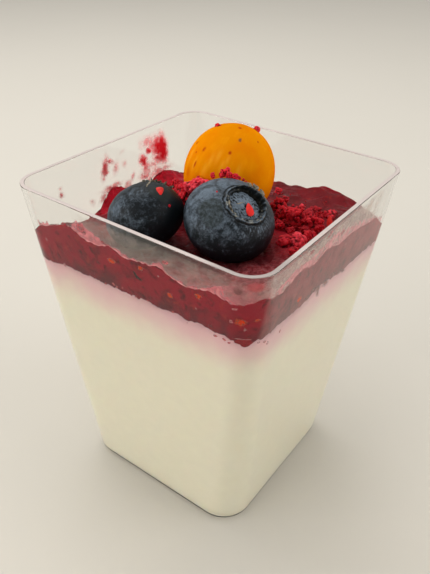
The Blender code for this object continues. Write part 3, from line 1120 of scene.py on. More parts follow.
# Marks on the physalis: elevation and heading from its middle in degrees, reach in millimetres,
# stretch along the berry, and kind
PHYSALIS_MARKS = (
    (44.7, -106.3, 0.32, 1.5, "speck"),
    (46.7, -56.5, 0.3, 1.2, "speck"),
    (44.1, -139.0, 0.28, 1.2, "speck"),
    (36.5, -119.8, 0.2, 1.0, "speck"),
    (52.8, 7.7, 0.2, 1.0, "speck"),
    (79.4, 13.1, 0.3, 1.0, "speck"),
    (24.0, -109.2, 0.25, 3.0, "speck"),
    (62.7, -32.6, 0.27, 1.6, "scar"),
    (60.8, -33.6, 0.18, 1.0, "scar"),
    (40.5, -74.9, 0.5, 3.2, "streak"),
    (35.4, -84.6, 0.45, 3.5, "streak"),
    (21.9, -90.9, 0.5, 3.0, "streak"),
    (30.8, -66.6, 0.4, 3.0, "streak"),
    (23.3, -111.2, 0.4, 3.0, "streak"),
    (37.0, -60.0, 0.35, 3.5, "streak"),
    (30.0, -130.0, 0.6, 3.0, "streak"),
    (25.0, -45.0, 0.4, 3.0, "streak"),
    (10.0, -119.6, 0.8, 1.5, "blush"),
    (8.0, -100.0, 0.8, 1.2, "blush"),
    (50.0, 100.0, 0.5, 3.0, "streak"),
    (35.0, 160.0, 0.4, 3.5, "streak"),
    (20.0, 60.0, 0.5, 3.0, "streak"),
)


# Millimetres on the physalis's skin that go with one unit between two directions from its middle
MARK_SPAN = 9.2


def physalis_mesh():
    """Smooth long berry with shallow ribs, dimples and marks, from its lower to its upper pole."""
    angles = np.linspace(-math.pi / 2, math.pi / 2, PHYSALIS_ROWS)[1:-1]
    azimuth = np.arange(BERRY_STEPS) / BERRY_STEPS * TURN
    angle_grid, turn_grid = np.meshgrid(angles, azimuth, indexing="ij")
    level = np.cos(angle_grid)
    ball = round_points(level, turn_grid, np.sin(angle_grid))
    circle = np.stack([np.cos(turn_grid), np.sin(turn_grid)], axis=-1)
    ribs = 0.004 * waves(circle, 0.8, 41) * level
    dents = 0.006 * waves(ball, 1.4, 42) + 0.0015 * waves(ball, 0.3, 43)
    skin = ball * (1 + (ribs + dents)[..., None])
    skin[..., 2] *= PHYSALIS.length
    placed = PHYSALIS.placed(skin)
    start, end = PHYSALIS.placed([0, 0, -PHYSALIS.length]), PHYSALIS.placed([0, 0, PHYSALIS.length])
    mesh = lofted_mesh("physalis_skin", start, placed, end)
    outward = unit_rows(placed - np.array(PHYSALIS.centre))
    axis = np.array(PHYSALIS_AXIS)
    fields = {kind: np.zeros_like(level) for kind in ("speck", "scar", "streak", "blush")}
    for elevation, heading, reach, stretch, kind in PHYSALIS_MARKS:
        spot = np.array(direction(elevation, heading))
        lengthwise = axis - spot * (axis @ spot)
        away = (outward - spot) * MARK_SPAN
        along = away @ (lengthwise / np.linalg.norm(lengthwise))
        across = np.sqrt(np.maximum((away**2).sum(axis=-1) - along**2, 0))
        far = (across / reach) ** 2 + (along / reach / stretch) ** 2
        far = far**1.6 if kind in ("speck", "scar") else far
        fields[kind] = np.maximum(fields[kind], np.exp(-far))
    paint_rings(mesh, **fields)
    return mesh


def physalis_material():
    """Orange skin with pale streaks along the berry and a few small specks, and painted shade towards its
    lower side.
    """
    berries = bpy.context.scene.dessert_berries
    recipe = Recipe("physalis_skin_finish")
    streaked = (0.66, 0.24, 0.003)
    clouded = (0.58, 0.14, 0.001)
    shaded_orange = (0.5, 0.085, 0.001)
    pale = (0.72, 0.3, 0.015)
    blushed = (0.4, 0.035, 0.002)
    speckled = (0.33, 0.02, 0.004)
    scarred = (0.16, 0.07, 0.025)
    streak_place = recipe.add("ShaderNodeVectorMath", operation="SUBTRACT")
    recipe.feed(streak_place.inputs[0], recipe.place)
    lengthwise = recipe.add("ShaderNodeVectorMath", operation="SCALE")
    lengthwise.inputs[0].default_value = PHYSALIS_AXIS
    recipe.feed(lengthwise.inputs["Scale"], recipe.times(recipe.along(PHYSALIS_AXIS), 0.85))
    recipe.feed(streak_place.inputs[1], lengthwise.outputs[0])
    streaks = recipe.noise(1.6 * MM, vector=streak_place.outputs[0])
    clouds = recipe.noise(5 * MM)
    fine = recipe.noise(0.8 * MM)
    pores = recipe.cells(0.55 * MM)
    low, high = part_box("physalis")
    # Painted shade: the skin darkens towards the lower side, away from the light above.
    lower = recipe.ramp(recipe.along((0.25, -0.2, 1.0)), low.z + 2 * MM, high.z - 4 * MM, 1.0, 0.0)
    colour = recipe.blend(recipe.ramp(streaks, 0.5, 0.7, 0.0, 0.45), berries.orange, streaked)
    colour = recipe.blend(recipe.ramp(clouds, 0.45, 0.7, 0.0, 0.6), colour, clouded)
    colour = recipe.blend(recipe.times(lower, 0.6), colour, shaded_orange)
    colour = recipe.blend(recipe.times(recipe.attribute("streak"), 0.55), colour, pale)
    colour = recipe.blend(recipe.times(recipe.attribute("blush"), 0.5), colour, blushed)
    worn = recipe.times(recipe.attribute("speck"), recipe.ramp(fine, 0.3, 0.5, 0.6, 1.0))
    colour = recipe.blend(worn, colour, speckled)
    colour = recipe.blend(recipe.attribute("scar"), colour, scarred)
    recipe.set(
        Base_Color=colour,
        Roughness=recipe.ramp(clouds, 0.3, 0.7, 0.45, 0.58),
        Specular_IOR_Level=0.0,
        Subsurface_Weight=0.12,
        Subsurface_Radius=(1.0, 0.3, 0.02),
        Subsurface_Scale=1.5 * MM,
        Normal=recipe.bump(pores, 0.03 * MM, 0.25),
    )
    return recipe.material


def scrap_material():
    """Dry torn crown: dark brown, weathered to grey."""
    recipe = Recipe("torn_crown_finish")
    brown = (0.03, 0.026, 0.016)
    grey = (0.24, 0.21, 0.16)
    weathered = recipe.noise(0.7 * MM, detail=4.0, roughness=0.7)
    recipe.set(
        Base_Color=recipe.blend(recipe.ramp(weathered, 0.38, 0.62), brown, grey),
        Roughness=0.75,
        Specular_IOR_Level=0.1,
        Normal=recipe.bump(weathered, 0.04 * MM, 0.6),
    )
    return recipe.material


# Looks of each blueberry: seed, how far its crown stands up and on which side in radians, the middle
# of the patch that is rubbed bare and its reach in radians, share of bloom, and the side facing a lamp,
# where extra bloom is painted light
BLUEBERRY_LOOKS = (
    (FRONT_BERRY, 61, 0.1, 0.35, (-0.699, 0.219, 0.68), 0.33, 0.16, (-0.3, 0.0, 1.0)),
    (LEFT_BERRY, 71, 0.03, 1.8, (-0.5, 0.8, 0.35), 0.3, 0.09, (-0.5, -0.8, 0.1)),
)


class DESSERT_OT_blueberries(bpy.types.Operator):
    """Set the two blueberries with their crowns and bloom"""

    bl_idname = "dessert.blueberries"
    bl_label = "Blueberries"

    def execute(self, context):
        for berry, seed, stand, stand_turn, rubbed, spread, share, lit_bloom_side in BLUEBERRY_LOOKS:
            mesh = blueberry_mesh(berry, seed, stand, stand_turn, (rubbed, spread))
            material = blueberry_material(berry.node + "_finish", share, lit_bloom_side)
            new_piece(berry.node + "_skin", mesh, material, "blueberry_skin", berry.node)
        random = np.random.default_rng(SCRAP_SEED)
        mesh = joined_mesh("crown_scraps", [sliver_shape(random, *scrap, 0.3) for scrap in CROWN_SCRAPS])
        new_piece("crown_scraps", mesh, scrap_material(), "blueberry_skin")
        return {"FINISHED"}


class DESSERT_OT_physalis(bpy.types.Operator):
    """Set the physalis"""

    bl_idname = "dessert.physalis"
    bl_label = "Physalis"

    def execute(self, context):
        new_piece("physalis_skin", physalis_mesh(), physalis_material(), "physalis_skin", "physalis")
        return {"FINISHED"}


# Raspberry crumbs


def crumb_shape(random, ball):
    """Rough lump of raspberry: a bent ball with spiky grains, and how far each point stands out."""
    points, faces = ball
    stretch = random.uniform(0.75, 1.15, 3)
    seed = int(random.integers(1 << 30))
    bent = 1 + 0.25 * waves(points, 1.5, seed, 6) + 0.11 * waves(points, 0.5, seed + 1, 10)
    grains = unit_rows(random.normal(size=(random.integers(60, 95), 3)))
    reach = random.uniform(0.4, 1.3, len(grains))
    nearest = np.clip(points @ grains.T, -1, 1)
    bulge = (np.clip((nearest - 0.94) / 0.06, 0.0, 1.0) ** 0.8 * reach).max(axis=1) * 0.36
    return points * stretch * (bent * 0.8 + bulge)[:, None], faces, bulge / 0.4


def turned(random, points):
    """Points in a random pose."""
    axis = Vector(random.normal(size=3)).normalized()
    return points @ np.array(Matrix.Rotation(random.uniform(0, TURN), 3, axis)).T


def resting_height(x, y):
    """Height of the coulis at a place."""
    at_x, at_y = np.array([x]), np.array([y])
    return float(press_berries(at_x, at_y, coulis_top(at_x, at_y))[0])


# Heaps of crumbs: x, y, spread along x and y, count, smallest and largest size, and pile height,
# in millimetres
CRUMB_HEAPS = (
    (14.0, 5.5, 2.8, 2.6, 24, 0.9, 2.0, 1.6),
    (17.5, 8.5, 2.4, 3.0, 14, 0.8, 1.9, 0.8),
    (8.5, 11.0, 2.4, 3.0, 9, 0.6, 1.3, 0.3),
    (19.5, 1.5, 2.2, 1.6, 6, 0.7, 1.5, 0.3),
    (-13.5, 6.0, 2.0, 2.4, 9, 0.9, 1.9, 0.6),
    (-18.5, 9.5, 2.0, 1.8, 6, 0.7, 1.5, 0.3),
    (-4.0, -5.8, 1.3, 1.0, 9, 1.2, 2.2, 2.6),
)

# Larger crumbs: x, y, lift off the coulis, size, in millimetres, and tone from dark 0 to pale 1
LARGE_CRUMBS = (
    (18.1, -3.6, 0.0, 2.7, 0.65),
    (21.0, -3.9, 0.0, 2.9, 0.95),
    (21.8, -1.2, 0.0, 2.5, 0.4),
    (21.9, -7.1, 0.0, 1.6, 0.3),
    (10.0, 7.6, 1.2, 2.5, 0.55),
    (12.9, 5.5, 1.2, 2.6, 0.5),
    (15.8, 3.9, 1.2, 2.8, 0.6),
    (16.6, 10.0, 0.6, 2.8, 0.1),
    (20.2, 3.4, 0.6, 2.6, 0.45),
    (19.2, 12.2, 0.0, 2.1, 0.8),
    (13.6, 10.0, 0.8, 1.9, 0.9),
    (18.9, 2.0, 0.0, 2.2, 0.0),
    (16.7, 7.2, 0.5, 2.2, 0.2),
    (11.5, 5.8, 0.6, 2.0, 0.3),
    (15.4, 2.9, 0.2, 2.2, 0.0),
    (7.3, 14.4, 0.2, 1.8, 0.4),
    (2.8, 19.6, 0.0, 1.5, 0.8),
    (-17.4, 8.7, 0.4, 2.2, 0.5),
    (-13.2, 4.9, 1.0, 2.2, 0.4),
    (-9.3, 1.1, 1.5, 2.4, 0.4),
)

# Crumbs that cling to the berries: x, y, z, size, in millimetres, and tone
CLINGING_CRUMBS = (
    (7.7, -7.4, 74.8, 1.8, 0.6),
    (6.7, -7.9, 75.1, 1.4, 0.5),
    (8.5, -6.8, 74.6, 1.3, 0.5),
    (7.3, -7.6, 75.7, 1.3, 0.7),
    (9.2, -6.3, 74.5, 0.7, 0.5),
    (9.9, -6.1, 74.3, 0.55, 0.5),
    (10.4, -5.9, 74.0, 0.4, 0.5),
    (11.0, -5.7, 73.6, 0.5, 0.5),
    (5.7, -9.4, 74.9, 0.8, 0.4),
    (5.3, -9.0, 75.1, 0.6, 0.4),
    (13.1, -5.2, 72.4, 0.8, 0.9),
    (9.8, -13.9, 74.8, 0.35, 0.2),
    (3.6, -18.8, 72.2, 0.4, 0.3),
    (-2.8, 3.4, 78.4, 1.0, 0.6),
    (-2.3, 3.1, 78.7, 0.7, 0.6),
    (-2.0, 3.4, 78.6, 0.5, 0.6),
    (3.0, 8.5, 77.8, 1.1, 0.7),
    (3.5, 8.2, 77.6, 0.7, 0.8),
    (-0.2, -5.8, 71.9, 0.5, 0.5),
    (0.1, -6.4, 70.5, 2.6, 0.95),
    (-1.7, -6.3, 69.6, 2.4, 0.9),
    (1.6, -6.2, 71.2, 1.9, 1.0),
    (-3.4, -6.2, 68.4, 2.6, 0.6),
    (-4.6, -6.0, 67.0, 2.6, 0.4),
    (-2.4, -7.4, 67.6, 2.4, 0.6),
    (-3.2, -7.4, 66.0, 2.4, 0.2),
    (-5.4, -5.0, 65.6, 2.4, 0.3),
)


def crumb_places(random):
    """Centre and size of every crumb, in metres, and its tone."""
    places = []
    for x, y, lift, size, tone in LARGE_CRUMBS:
        height = resting_height(x * MM, y * MM) + (0.42 * size + lift) * MM
        places.append((x * MM, y * MM, height, size * MM, tone))
    for x, y, z, size, tone in CLINGING_CRUMBS:
        places.append((x * MM, y * MM, z * MM, size * MM, tone))
    for x, y, spread_x, spread_y, count, small, large, pile in CRUMB_HEAPS:
        for _ in range(count):
            away = random.normal(size=2) * 0.6
            at_x, at_y = (x + away[0] * spread_x) * MM, (y + away[1] * spread_y) * MM
            size = random.uniform(small, large) * MM
            lift = pile * MM * max(1 - float(away @ away), 0.0) * random.uniform(0.3, 1.0)
            height = resting_height(at_x, at_y) + 0.3 * size + lift
            places.append((at_x, at_y, height, size, random.uniform(0, 0.7)))
    return places


# Heaps of the finest crumbs: centre and spread in millimetres
RIGHT_DUST = ((14, 6), (6.5, 7.5))
LEFT_DUST = ((-17, 9), (5, 5))

# Share of them that falls on the right, and how far out from the middle they may lie
RIGHT_SHARE = 0.75
DUST_LIMIT = 25 * MM

# Sizes from which a crumb needs a middling or a fine ball
MIDDLING_FROM = 0.7 * MM
FINE_FROM = 2.1 * MM


class DESSERT_OT_crumbs(bpy.types.Operator):
    """Scatter the freeze-dried raspberry crumbs"""

    bl_idname = "dessert.crumbs"
    bl_label = "Raspberry Crumbs"

    def execute(self, context):
        random = np.random.default_rng(CRUMB_SEED)
        small, middling, fine = ball_shape(2), ball_shape(3), ball_shape(4)
        shapes, grains, tones = [], [], []
        for x, y, z, size, tone in crumb_places(random):
            ball = fine if size > FINE_FROM else middling if size > MIDDLING_FROM else small
            points, faces, bulge = crumb_shape(random, ball)
            shapes.append((turned(random, points) * size / 2 + (x, y, z), faces))
            grains.append(bulge)
            tones.append(np.full(len(points), tone))
        dust = ball_shape(1)
        for _ in range(context.scene.dessert_crumbs.dust_count):
            centre, spread = RIGHT_DUST if random.random() < RIGHT_SHARE else LEFT_DUST
            x, y = random.normal(centre, spread) * MM
            if max(abs(x), abs(y)) < DUST_LIMIT:
                size = random.uniform(0.15, 0.4) * MM
                points = turned(random, dust[0] * random.uniform(0.6, 1.2, 3)) * size / 2
                shapes.append((points + (x, y, resting_height(x, y) + 0.3 * size), dust[1]))
                grains.append(np.full(len(points), random.uniform(0.2, 1.0)))
                tones.append(np.full(len(points), 0.3))
        mesh = joined_mesh("raspberry_crumbs", shapes)
        paint(mesh, "grain", np.concatenate(grains))
        paint(mesh, "tone", np.concatenate(tones))
        new_piece("raspberry_crumbs", mesh, crumb_material(), "raspberry_crumb")
        mesh.shade_flat()
        return {"FINISHED"}


def crumb_material():
    """Freeze-dried raspberry: crimson, dull, with painted shade between its grains and painted highlights on
    them.
    """
    crumbs = bpy.context.scene.dessert_crumbs
    recipe = Recipe("raspberry_crumb_finish")
    pale_pink = (0.8, 0.07, 0.1)
    hollow_shade = (0.1, 0.001, 0.003)
    dull_red = (0.22, 0.002, 0.006)
    painted_grain_highlight = (0.85, 0.06, 0.06)
    patches = recipe.noise(1.6 * MM, detail=2.0)
    grain = recipe.noise(0.22 * MM, roughness=0.7)
    stand, tone = recipe.attribute("grain"), recipe.attribute("tone")
    light = recipe.blend(tone, shaded(crumbs.crimson, 0.45), crumbs.crimson)
    light = recipe.blend(recipe.ramp(tone, 0.6, 1.0, 0.0, 0.6), light, pale_pink)
    # Painted shade: the crumb darkens between its grains, where it stands out least.
    colour = recipe.blend(recipe.ramp(stand, 0.02, 0.6), hollow_shade, light)
    colour = recipe.blend(recipe.ramp(patches, 0.48, 0.78, 0.0, 0.5), colour, dull_red)
    # Painted highlights: bright specks on the grains.
    colour = recipe.blend(recipe.ramp(grain, 0.58, 0.8, 0.0, 0.3), colour, painted_grain_highlight)
    recipe.set(
        Base_Color=colour,
        Roughness=recipe.ramp(grain, 0.3, 0.7, 0.5, 0.7),
        Specular_IOR_Level=0.15,
        Subsurface_Weight=0.3,
        Subsurface_Radius=(1.0, 0.08, 0.06),
        Subsurface_Scale=0.6 * MM,
        Normal=recipe.bump(grain, 0.05 * MM, 0.6),
    )
    return recipe.material


# Smooth slivers of dried fruit: centre, the way each points, the way it faces, length, width and
# thickness, in millimetres
SLIVERS = (
    ((15.25, -12.05, 72.55), (-0.63, 0.485, 0.607), (0.6, -0.35, 0.7), 2.4, 1.15, 0.5),
    ((1.45, -18.75, 74.2), (0.66, -0.62, -0.42), (0.25, -0.5, 0.83), 1.75, 1.25, 0.7),
    ((22.0, 5.6, 65.2), (-0.3, 0.35, 0.88), (0.6, -0.6, 0.5), 2.2, 1.0, 0.7),
)


def sliver_shape(random, centre, point, face, length, width, thickness, rough=0.06):
    """Flat rounded chip that narrows to one end."""
    points, faces = ball_shape(4)
    long_axis = Vector(point).normalized()
    flat_axis = (Vector(face) - long_axis * Vector(face).dot(long_axis)).normalized()
    frame_rows = np.array([long_axis, flat_axis.cross(long_axis), flat_axis])
    shape = points.copy()
    shape *= 1 + rough * waves(points, 1.0, int(random.integers(1 << 30)), 8)[:, None]
    narrow = 0.8 - 0.28 * shape[:, :1]
    half = np.array([length, width, thickness]) / 2 * MM
    local = np.hstack([shape[:, :1], shape[:, 1:2] * narrow * 1.4, shape[:, 2:] * narrow]) * half
    return local @ frame_rows + np.array(centre) * MM, faces


def sliver_material():
    """Smooth dried fruit: scarlet, darker in patches."""
    scarlet = bpy.context.scene.dessert_crumbs.scarlet
    recipe = Recipe("dried_sliver_finish")
    patches = recipe.noise(0.9 * MM)
    recipe.set(
        Base_Color=recipe.blend(recipe.ramp(patches, 0.4, 0.7), scarlet, shaded(scarlet, 0.72)),
        Roughness=recipe.ramp(patches, 0.3, 0.7, 0.4, 0.55),
        Specular_IOR_Level=0.2,
        Normal=recipe.bump(recipe.noise(0.3 * MM), 0.03 * MM, 0.5),
    )
    return recipe.material


class DESSERT_OT_slivers(bpy.types.Operator):
    """Lay the smooth slivers of dried fruit"""

    bl_idname = "dessert.slivers"
    bl_label = "Slivers"

    def execute(self, context):
        random = np.random.default_rng(SLIVER_SEED)
        mesh = joined_mesh("fruit_slivers", [sliver_shape(random, *values) for values in SLIVERS])
        new_piece("fruit_slivers", mesh, sliver_material(), "raspberry_crumb")
        return {"FINISHED"}


# Smears inside the left back wall: along it, height, half width and half height in millimetres,
# strength, and tilt in degrees
SMEARS = (
    (14.3, 64.6, 1.2, 2.4, 1.1, 5),
    (13.2, 65.6, 1.8, 1.8, 0.85, 20),
    (12.0, 66.2, 2.1, 1.4, 0.5, 0),
    (12.9, 63.0, 1.5, 1.1, 0.6, 0),
    (9.7, 65.5, 0.7, 0.6, 0.75, 0),
    (9.7, 67.6, 1.7, 1.1, 0.36, 0),
    (7.4, 67.4, 1.0, 1.5, 0.16, 0),
    (7.6, 63.8, 0.95, 1.15, 0.72, 20),
    (8.3, 62.2, 1.1, 1.4, 0.45, 15),
    (7.8, 60.3, 1.7, 1.0, 0.4, 0),
    (10.9, 62.0, 1.5, 1.1, 0.3, 0),
    (11.5, 60.4, 1.6, 0.9, 0.3, 0),
    (-4.25, 65.9, 0.7, 1.8, 0.62, -22),
    (-2.9, 67.0, 1.3, 0.4, 0.42, -27),
    (-1.1, 65.0, 0.6, 1.3, 0.3, -25),
    (1.6, 65.0, 0.7, 0.7, 0.24, 0),
    (1.2, 67.8, 1.1, 0.4, 0.12, 20),
    (3.6, 61.3, 0.5, 0.8, 0.34, -25),
    (1.7, 60.0, 1.2, 0.8, 0.36, 20),
    (-16.8, 65.7, 0.5, 0.45, 0.2, 0),
    (-16.9, 64.4, 0.5, 0.5, 0.4, 0),
    (-9.1, 59.9, 0.7, 0.7, 0.2, 0),
    (-3.0, 61.1, 2.2, 0.6, 0.5, 0),
    (-5.8, 59.9, 1.2, 0.6, 0.4, 35),
    (12.6, 59.7, 3.0, 0.7, 0.45, 0),
    (8.8, 58.9, 1.5, 0.6, 0.35, 15),
)


def sheet_shape(front, back, kept):
    """Points and faces of the kept cells of a thin sheet, closed between its two sides."""
    rows, steps, _ = front.shape
    count = rows * steps
    faces = []
    index = np.arange(count).reshape(rows, steps)
    cells = kept[:-1, :-1] & kept[1:, :-1] & kept[:-1, 1:] & kept[1:, 1:]
    solid = np.pad(cells, 1)
    for row, step in zip(*np.nonzero(cells)):
        a, b = int(index[row, step]), int(index[row, step + 1])
        d, c = int(index[row + 1, step]), int(index[row + 1, step + 1])
        faces += [(a, b, c, d), (d + count, c + count, b + count, a + count)]
        edges = ((a, b, 0, 1), (b, c, 1, 2), (c, d, 2, 1), (d, a, 1, 0))
        for start, end, down, across in edges:
            if not solid[row + down, step + across]:
                faces.append((end, start, start + count, end + count))
    used = sorted({corner for face in faces for corner in face})
    place = {corner: number for number, corner in enumerate(used)}
    points = np.vstack([front.reshape(-1, 3), back.reshape(-1, 3)])[used]
    return points, [tuple(place[corner] for corner in face) for face in faces], np.array(used) % count


# Part of the left back wall that the smears' sheet covers, and the size of its cells, in millimetres
SMEAR_HALF = 19
SMEAR_LOW = 57.8
SMEAR_HIGH = 69.6
SMEAR_CELL = 0.12


def smear_cover(along, height):
    """How thickly the smears cover each place on the left back wall."""
    spot = np.stack([along, height], axis=-1)
    bent_along = along + 0.14 * waves(spot, 2.6, 141) + 0.04 * waves(spot, 0.9, 142)
    bent_height = height + 0.14 * waves(spot, 2.6, 143) + 0.04 * waves(spot, 0.9, 144)
    cover = np.zeros_like(along)
    for at, up, half_width, half_height, strength, tilt in SMEARS:
        across, upward = turned_by(bent_along - at, bent_height - up, -math.radians(tilt))
        far = (across / half_width) ** 2 + (upward / half_height) ** 2
        cover = np.maximum(cover, strength * np.exp(-far * 0.6))
    return cover * (1 + 0.18 * waves(spot, 1.2, 145))


def smear_material():
    """Smeared raspberry: pink where thin and red where thick."""
    recipe = Recipe("smear_finish")
    thin_pink = (1.0, 0.3, 0.32)
    thick_red = (0.64, 0.004, 0.012)
    grain_red = (0.6, 0.02, 0.03)
    thick = recipe.attribute("cover")
    grain = recipe.noise(0.5 * MM)
    colour = recipe.blend(recipe.ramp(thick, 0.2, 0.8), thin_pink, thick_red)
    uneven = recipe.plus(thick, recipe.times(grain, 0.06))
    recipe.set(
        Base_Color=recipe.blend(recipe.ramp(grain, 0.5, 0.75, 0.0, 0.2), colour, grain_red),
        Roughness=0.5,
        Specular_IOR_Level=0.05,
        Alpha=recipe.ramp(uneven, 0.03, 0.7, 0.0, 0.97),
        Normal=recipe.bump(grain, 0.03 * MM, 0.5),
    )
    return recipe.material


class DESSERT_OT_smears(bpy.types.Operator):
    """Smear raspberry on the inside of the left back wall"""

    bl_idname = "dessert.smears"
    bl_label = "Smears"

    def execute(self, context):
        wall = context.scene.dessert_cup.wall
        columns = np.arange(-SMEAR_HALF, SMEAR_HALF, SMEAR_CELL)
        along, height = np.meshgrid(columns, np.arange(SMEAR_LOW, SMEAR_HIGH, SMEAR_CELL))
        cover = smear_cover(along, height)
        depth = wall + (0.04 + 0.14 * np.clip(cover, 0, 1)) * MM
        front = on_wall("left_back", along * MM, height * MM, depth)
        back = on_wall("left_back", along * MM, height * MM, wall + 0.015 * MM)
        points, faces, source = sheet_shape(front, back, cover > LEAST_SMEAR)
        mesh = mesh_of("wall_smears", points, faces)
        paint(mesh, "cover", cover.ravel()[source])
        new_piece("wall_smears", mesh, smear_material(), "raspberry_crumb")
        return {"FINISHED"}


# Top edge of the thin coulis film on the two front walls: along the wall and height, in millimetres
LEFT_FILM = (
    (-24, 63.8), (-14.5, 65.3), (-12.6, 66.4), (-11, 67.9), (-9, 67.7), (-6.9, 66.6), (-4.7, 65.8),
    (-2.9, 65.6), (-1.4, 65.4), (0.8, 65.0), (3.5, 64.9), (5.4, 65.2), (7.1, 66.3), (8.4, 66.6), (8.9, 65.3),
    (10.6, 64.6), (12.6, 64.4), (15.3, 65.0), (17.3, 65.7), (20.0, 67.2), (22.4, 68.3), (28, 68.8),
)
RIGHT_FILM = (
    (-28, 68.8), (-24, 67.5), (-21.2, 66.9), (-18.7, 66.7), (-16.9, 67.4), (-13.7, 67.4), (-10.3, 67.1),
    (-6.8, 67.3), (-3.2, 68.2), (0.6, 67.5), (2.8, 66.9), (5.5, 66.3), (9, 65.6), (13, 64.6),
    (17, 63.0), (24, 61),
)


# Steps of the film along each wall, round each corner and up the walls, and its top in millimetres
FILM_SIDE = 260
FILM_BEND = 50
FILM_ROWS = 70
FILM_TOP = 69.9


def film_sheet():
    """Front and back of the film's sheet on the two front walls, and the coulis's edge below it."""
    wall = bpy.context.scene.dessert_cup.wall
    quarter = FILM_SIDE + FILM_BEND
    order = np.arange(3 * quarter, 4 * quarter + FILM_SIDE) % (4 * quarter)
    edge = edge_ring(coulis_top, wall, FILM_SIDE, FILM_BEND)[order, 2]
    low, high = edge - 0.25 * MM, CUP_HEIGHT - 0.7 * MM
    fronts, backs = [], []
    for share in np.linspace(0, 1, FILM_ROWS):
        height = np.zeros(4 * quarter)
        height[order] = low + (high - low) * share
        fronts.append(wall_ring(height, wall + 0.03 * MM, FILM_SIDE, FILM_BEND)[order])
        backs.append(wall_ring(height, wall + 0.012 * MM, FILM_SIDE, FILM_BEND)[order])
    return np.array(fronts), np.array(backs), edge


def film_fields(x, y, z, edge):
    """Pink stain, milky veil and bright line along the edge, at places on the walls in millimetres."""
    on_left = -y > x
    spot = np.stack([x + y, z], axis=-1)
    corner = 1 - 0.5 * smooth_step(18.5, 23, np.where(on_left, x, -y))

    rough = 0.3 * waves(spot, 1.6, 151) + 0.12 * waves(spot, 0.5, 152)
    top = np.where(on_left, np.interp(x, *zip(*LEFT_FILM)), np.interp(y, *zip(*RIGHT_FILM))) + rough
    gap = z - edge
    pink = (1 - smooth_step(-0.35, 0.2, z - top)) * (0.75 + 0.25 * waves(spot, 2.4, 153))
    pink *= np.where(on_left, 1.0 + 0.5 * smooth_step(-6, -10, x), 0.6)
    pink *= 0.75 + 0.5 * bell(gap, 0.0, 0.9)

    thin = 0.1 + 0.14 * np.clip(waves(spot, 1.6, 157), 0, 1)
    line = bell(gap, 0.06, thin) * np.clip(0.6 + 0.6 * waves(spot, 3.2, 156), 0.1, 1)
    line *= np.where(on_left, 1.0, 0.35)

    veil = np.where(on_left, 0.38 * smooth_step(-13, -8, x), band(y, (-27.5, -22), (15, 19)))
    veil = veil * (0.85 + 0.3 * waves(spot, 3.5, 154) + 0.16 * waves(spot, 1.0, 155))
    veil *= 1 - smooth_step(FILM_TOP - 1.3, FILM_TOP, z)
    return {"pink": pink * corner, "veil": veil * corner, "line": line * corner}


def film_material():
    """Thin coulis on the plastic: a milky veil, pink stains and a bright line along its edge."""
    recipe = Recipe("coulis_film_finish")
    milky = (0.66, 0.52, 0.43)
    stain = (0.78, 0.2, 0.23)
    brown_cloud = (0.4, 0.24, 0.2)
    light_cloud = (0.74, 0.5, 0.46)
    bright_edge = (0.8, 0.36, 0.37)
    pink, veil, line = (recipe.attribute(name) for name in ("pink", "veil", "line"))
    cloud = recipe.noise(2.0 * MM, detail=5.0, roughness=0.66, distortion=1.4)
    colour = recipe.blend(recipe.ramp(pink, 0.05, 0.45), milky, stain)
    colour = recipe.blend(recipe.ramp(cloud, 0.5, 0.75, 0.0, 0.45), colour, brown_cloud)
    colour = recipe.blend(recipe.ramp(cloud, 0.45, 0.3, 0.0, 0.5), colour, light_cloud)
    alpha = recipe.plus(recipe.times(pink, 0.62), recipe.times(veil, 0.37))
    alpha = recipe.times(alpha, recipe.ramp(cloud, 0.3, 0.7, 0.55, 1.5))
    recipe.set(
        Base_Color=recipe.blend(line, colour, bright_edge),
        Roughness=0.6,
        Specular_IOR_Level=0.1,
        Alpha=recipe.plus(alpha, recipe.times(line, 0.6)),
    )
    return recipe.material


class DESSERT_OT_film(bpy.types.Operator):
    """Streak the thin film of coulis above its edge on the two front walls"""

    bl_idname = "dessert.film"
    bl_label = "Wall Film"

    def execute(self, context):
        front, back, edge = film_sheet()
        x, y, z = np.moveaxis(front / MM, -1, 0)
        fields = film_fields(x, y, z, edge / MM)
        kept = (sum(fields.values()) > LEAST_FILM) & (z < FILM_TOP)
        points, faces, source = sheet_shape(front, back, kept)
        mesh = mesh_of("coulis_film", points, faces)
        for name, field in fields.items():
            paint(mesh, name, np.clip(field, 0, 1).ravel()[source])
        new_piece("coulis_film", mesh, film_material(), "coulis_red")
        return {"FINISHED"}


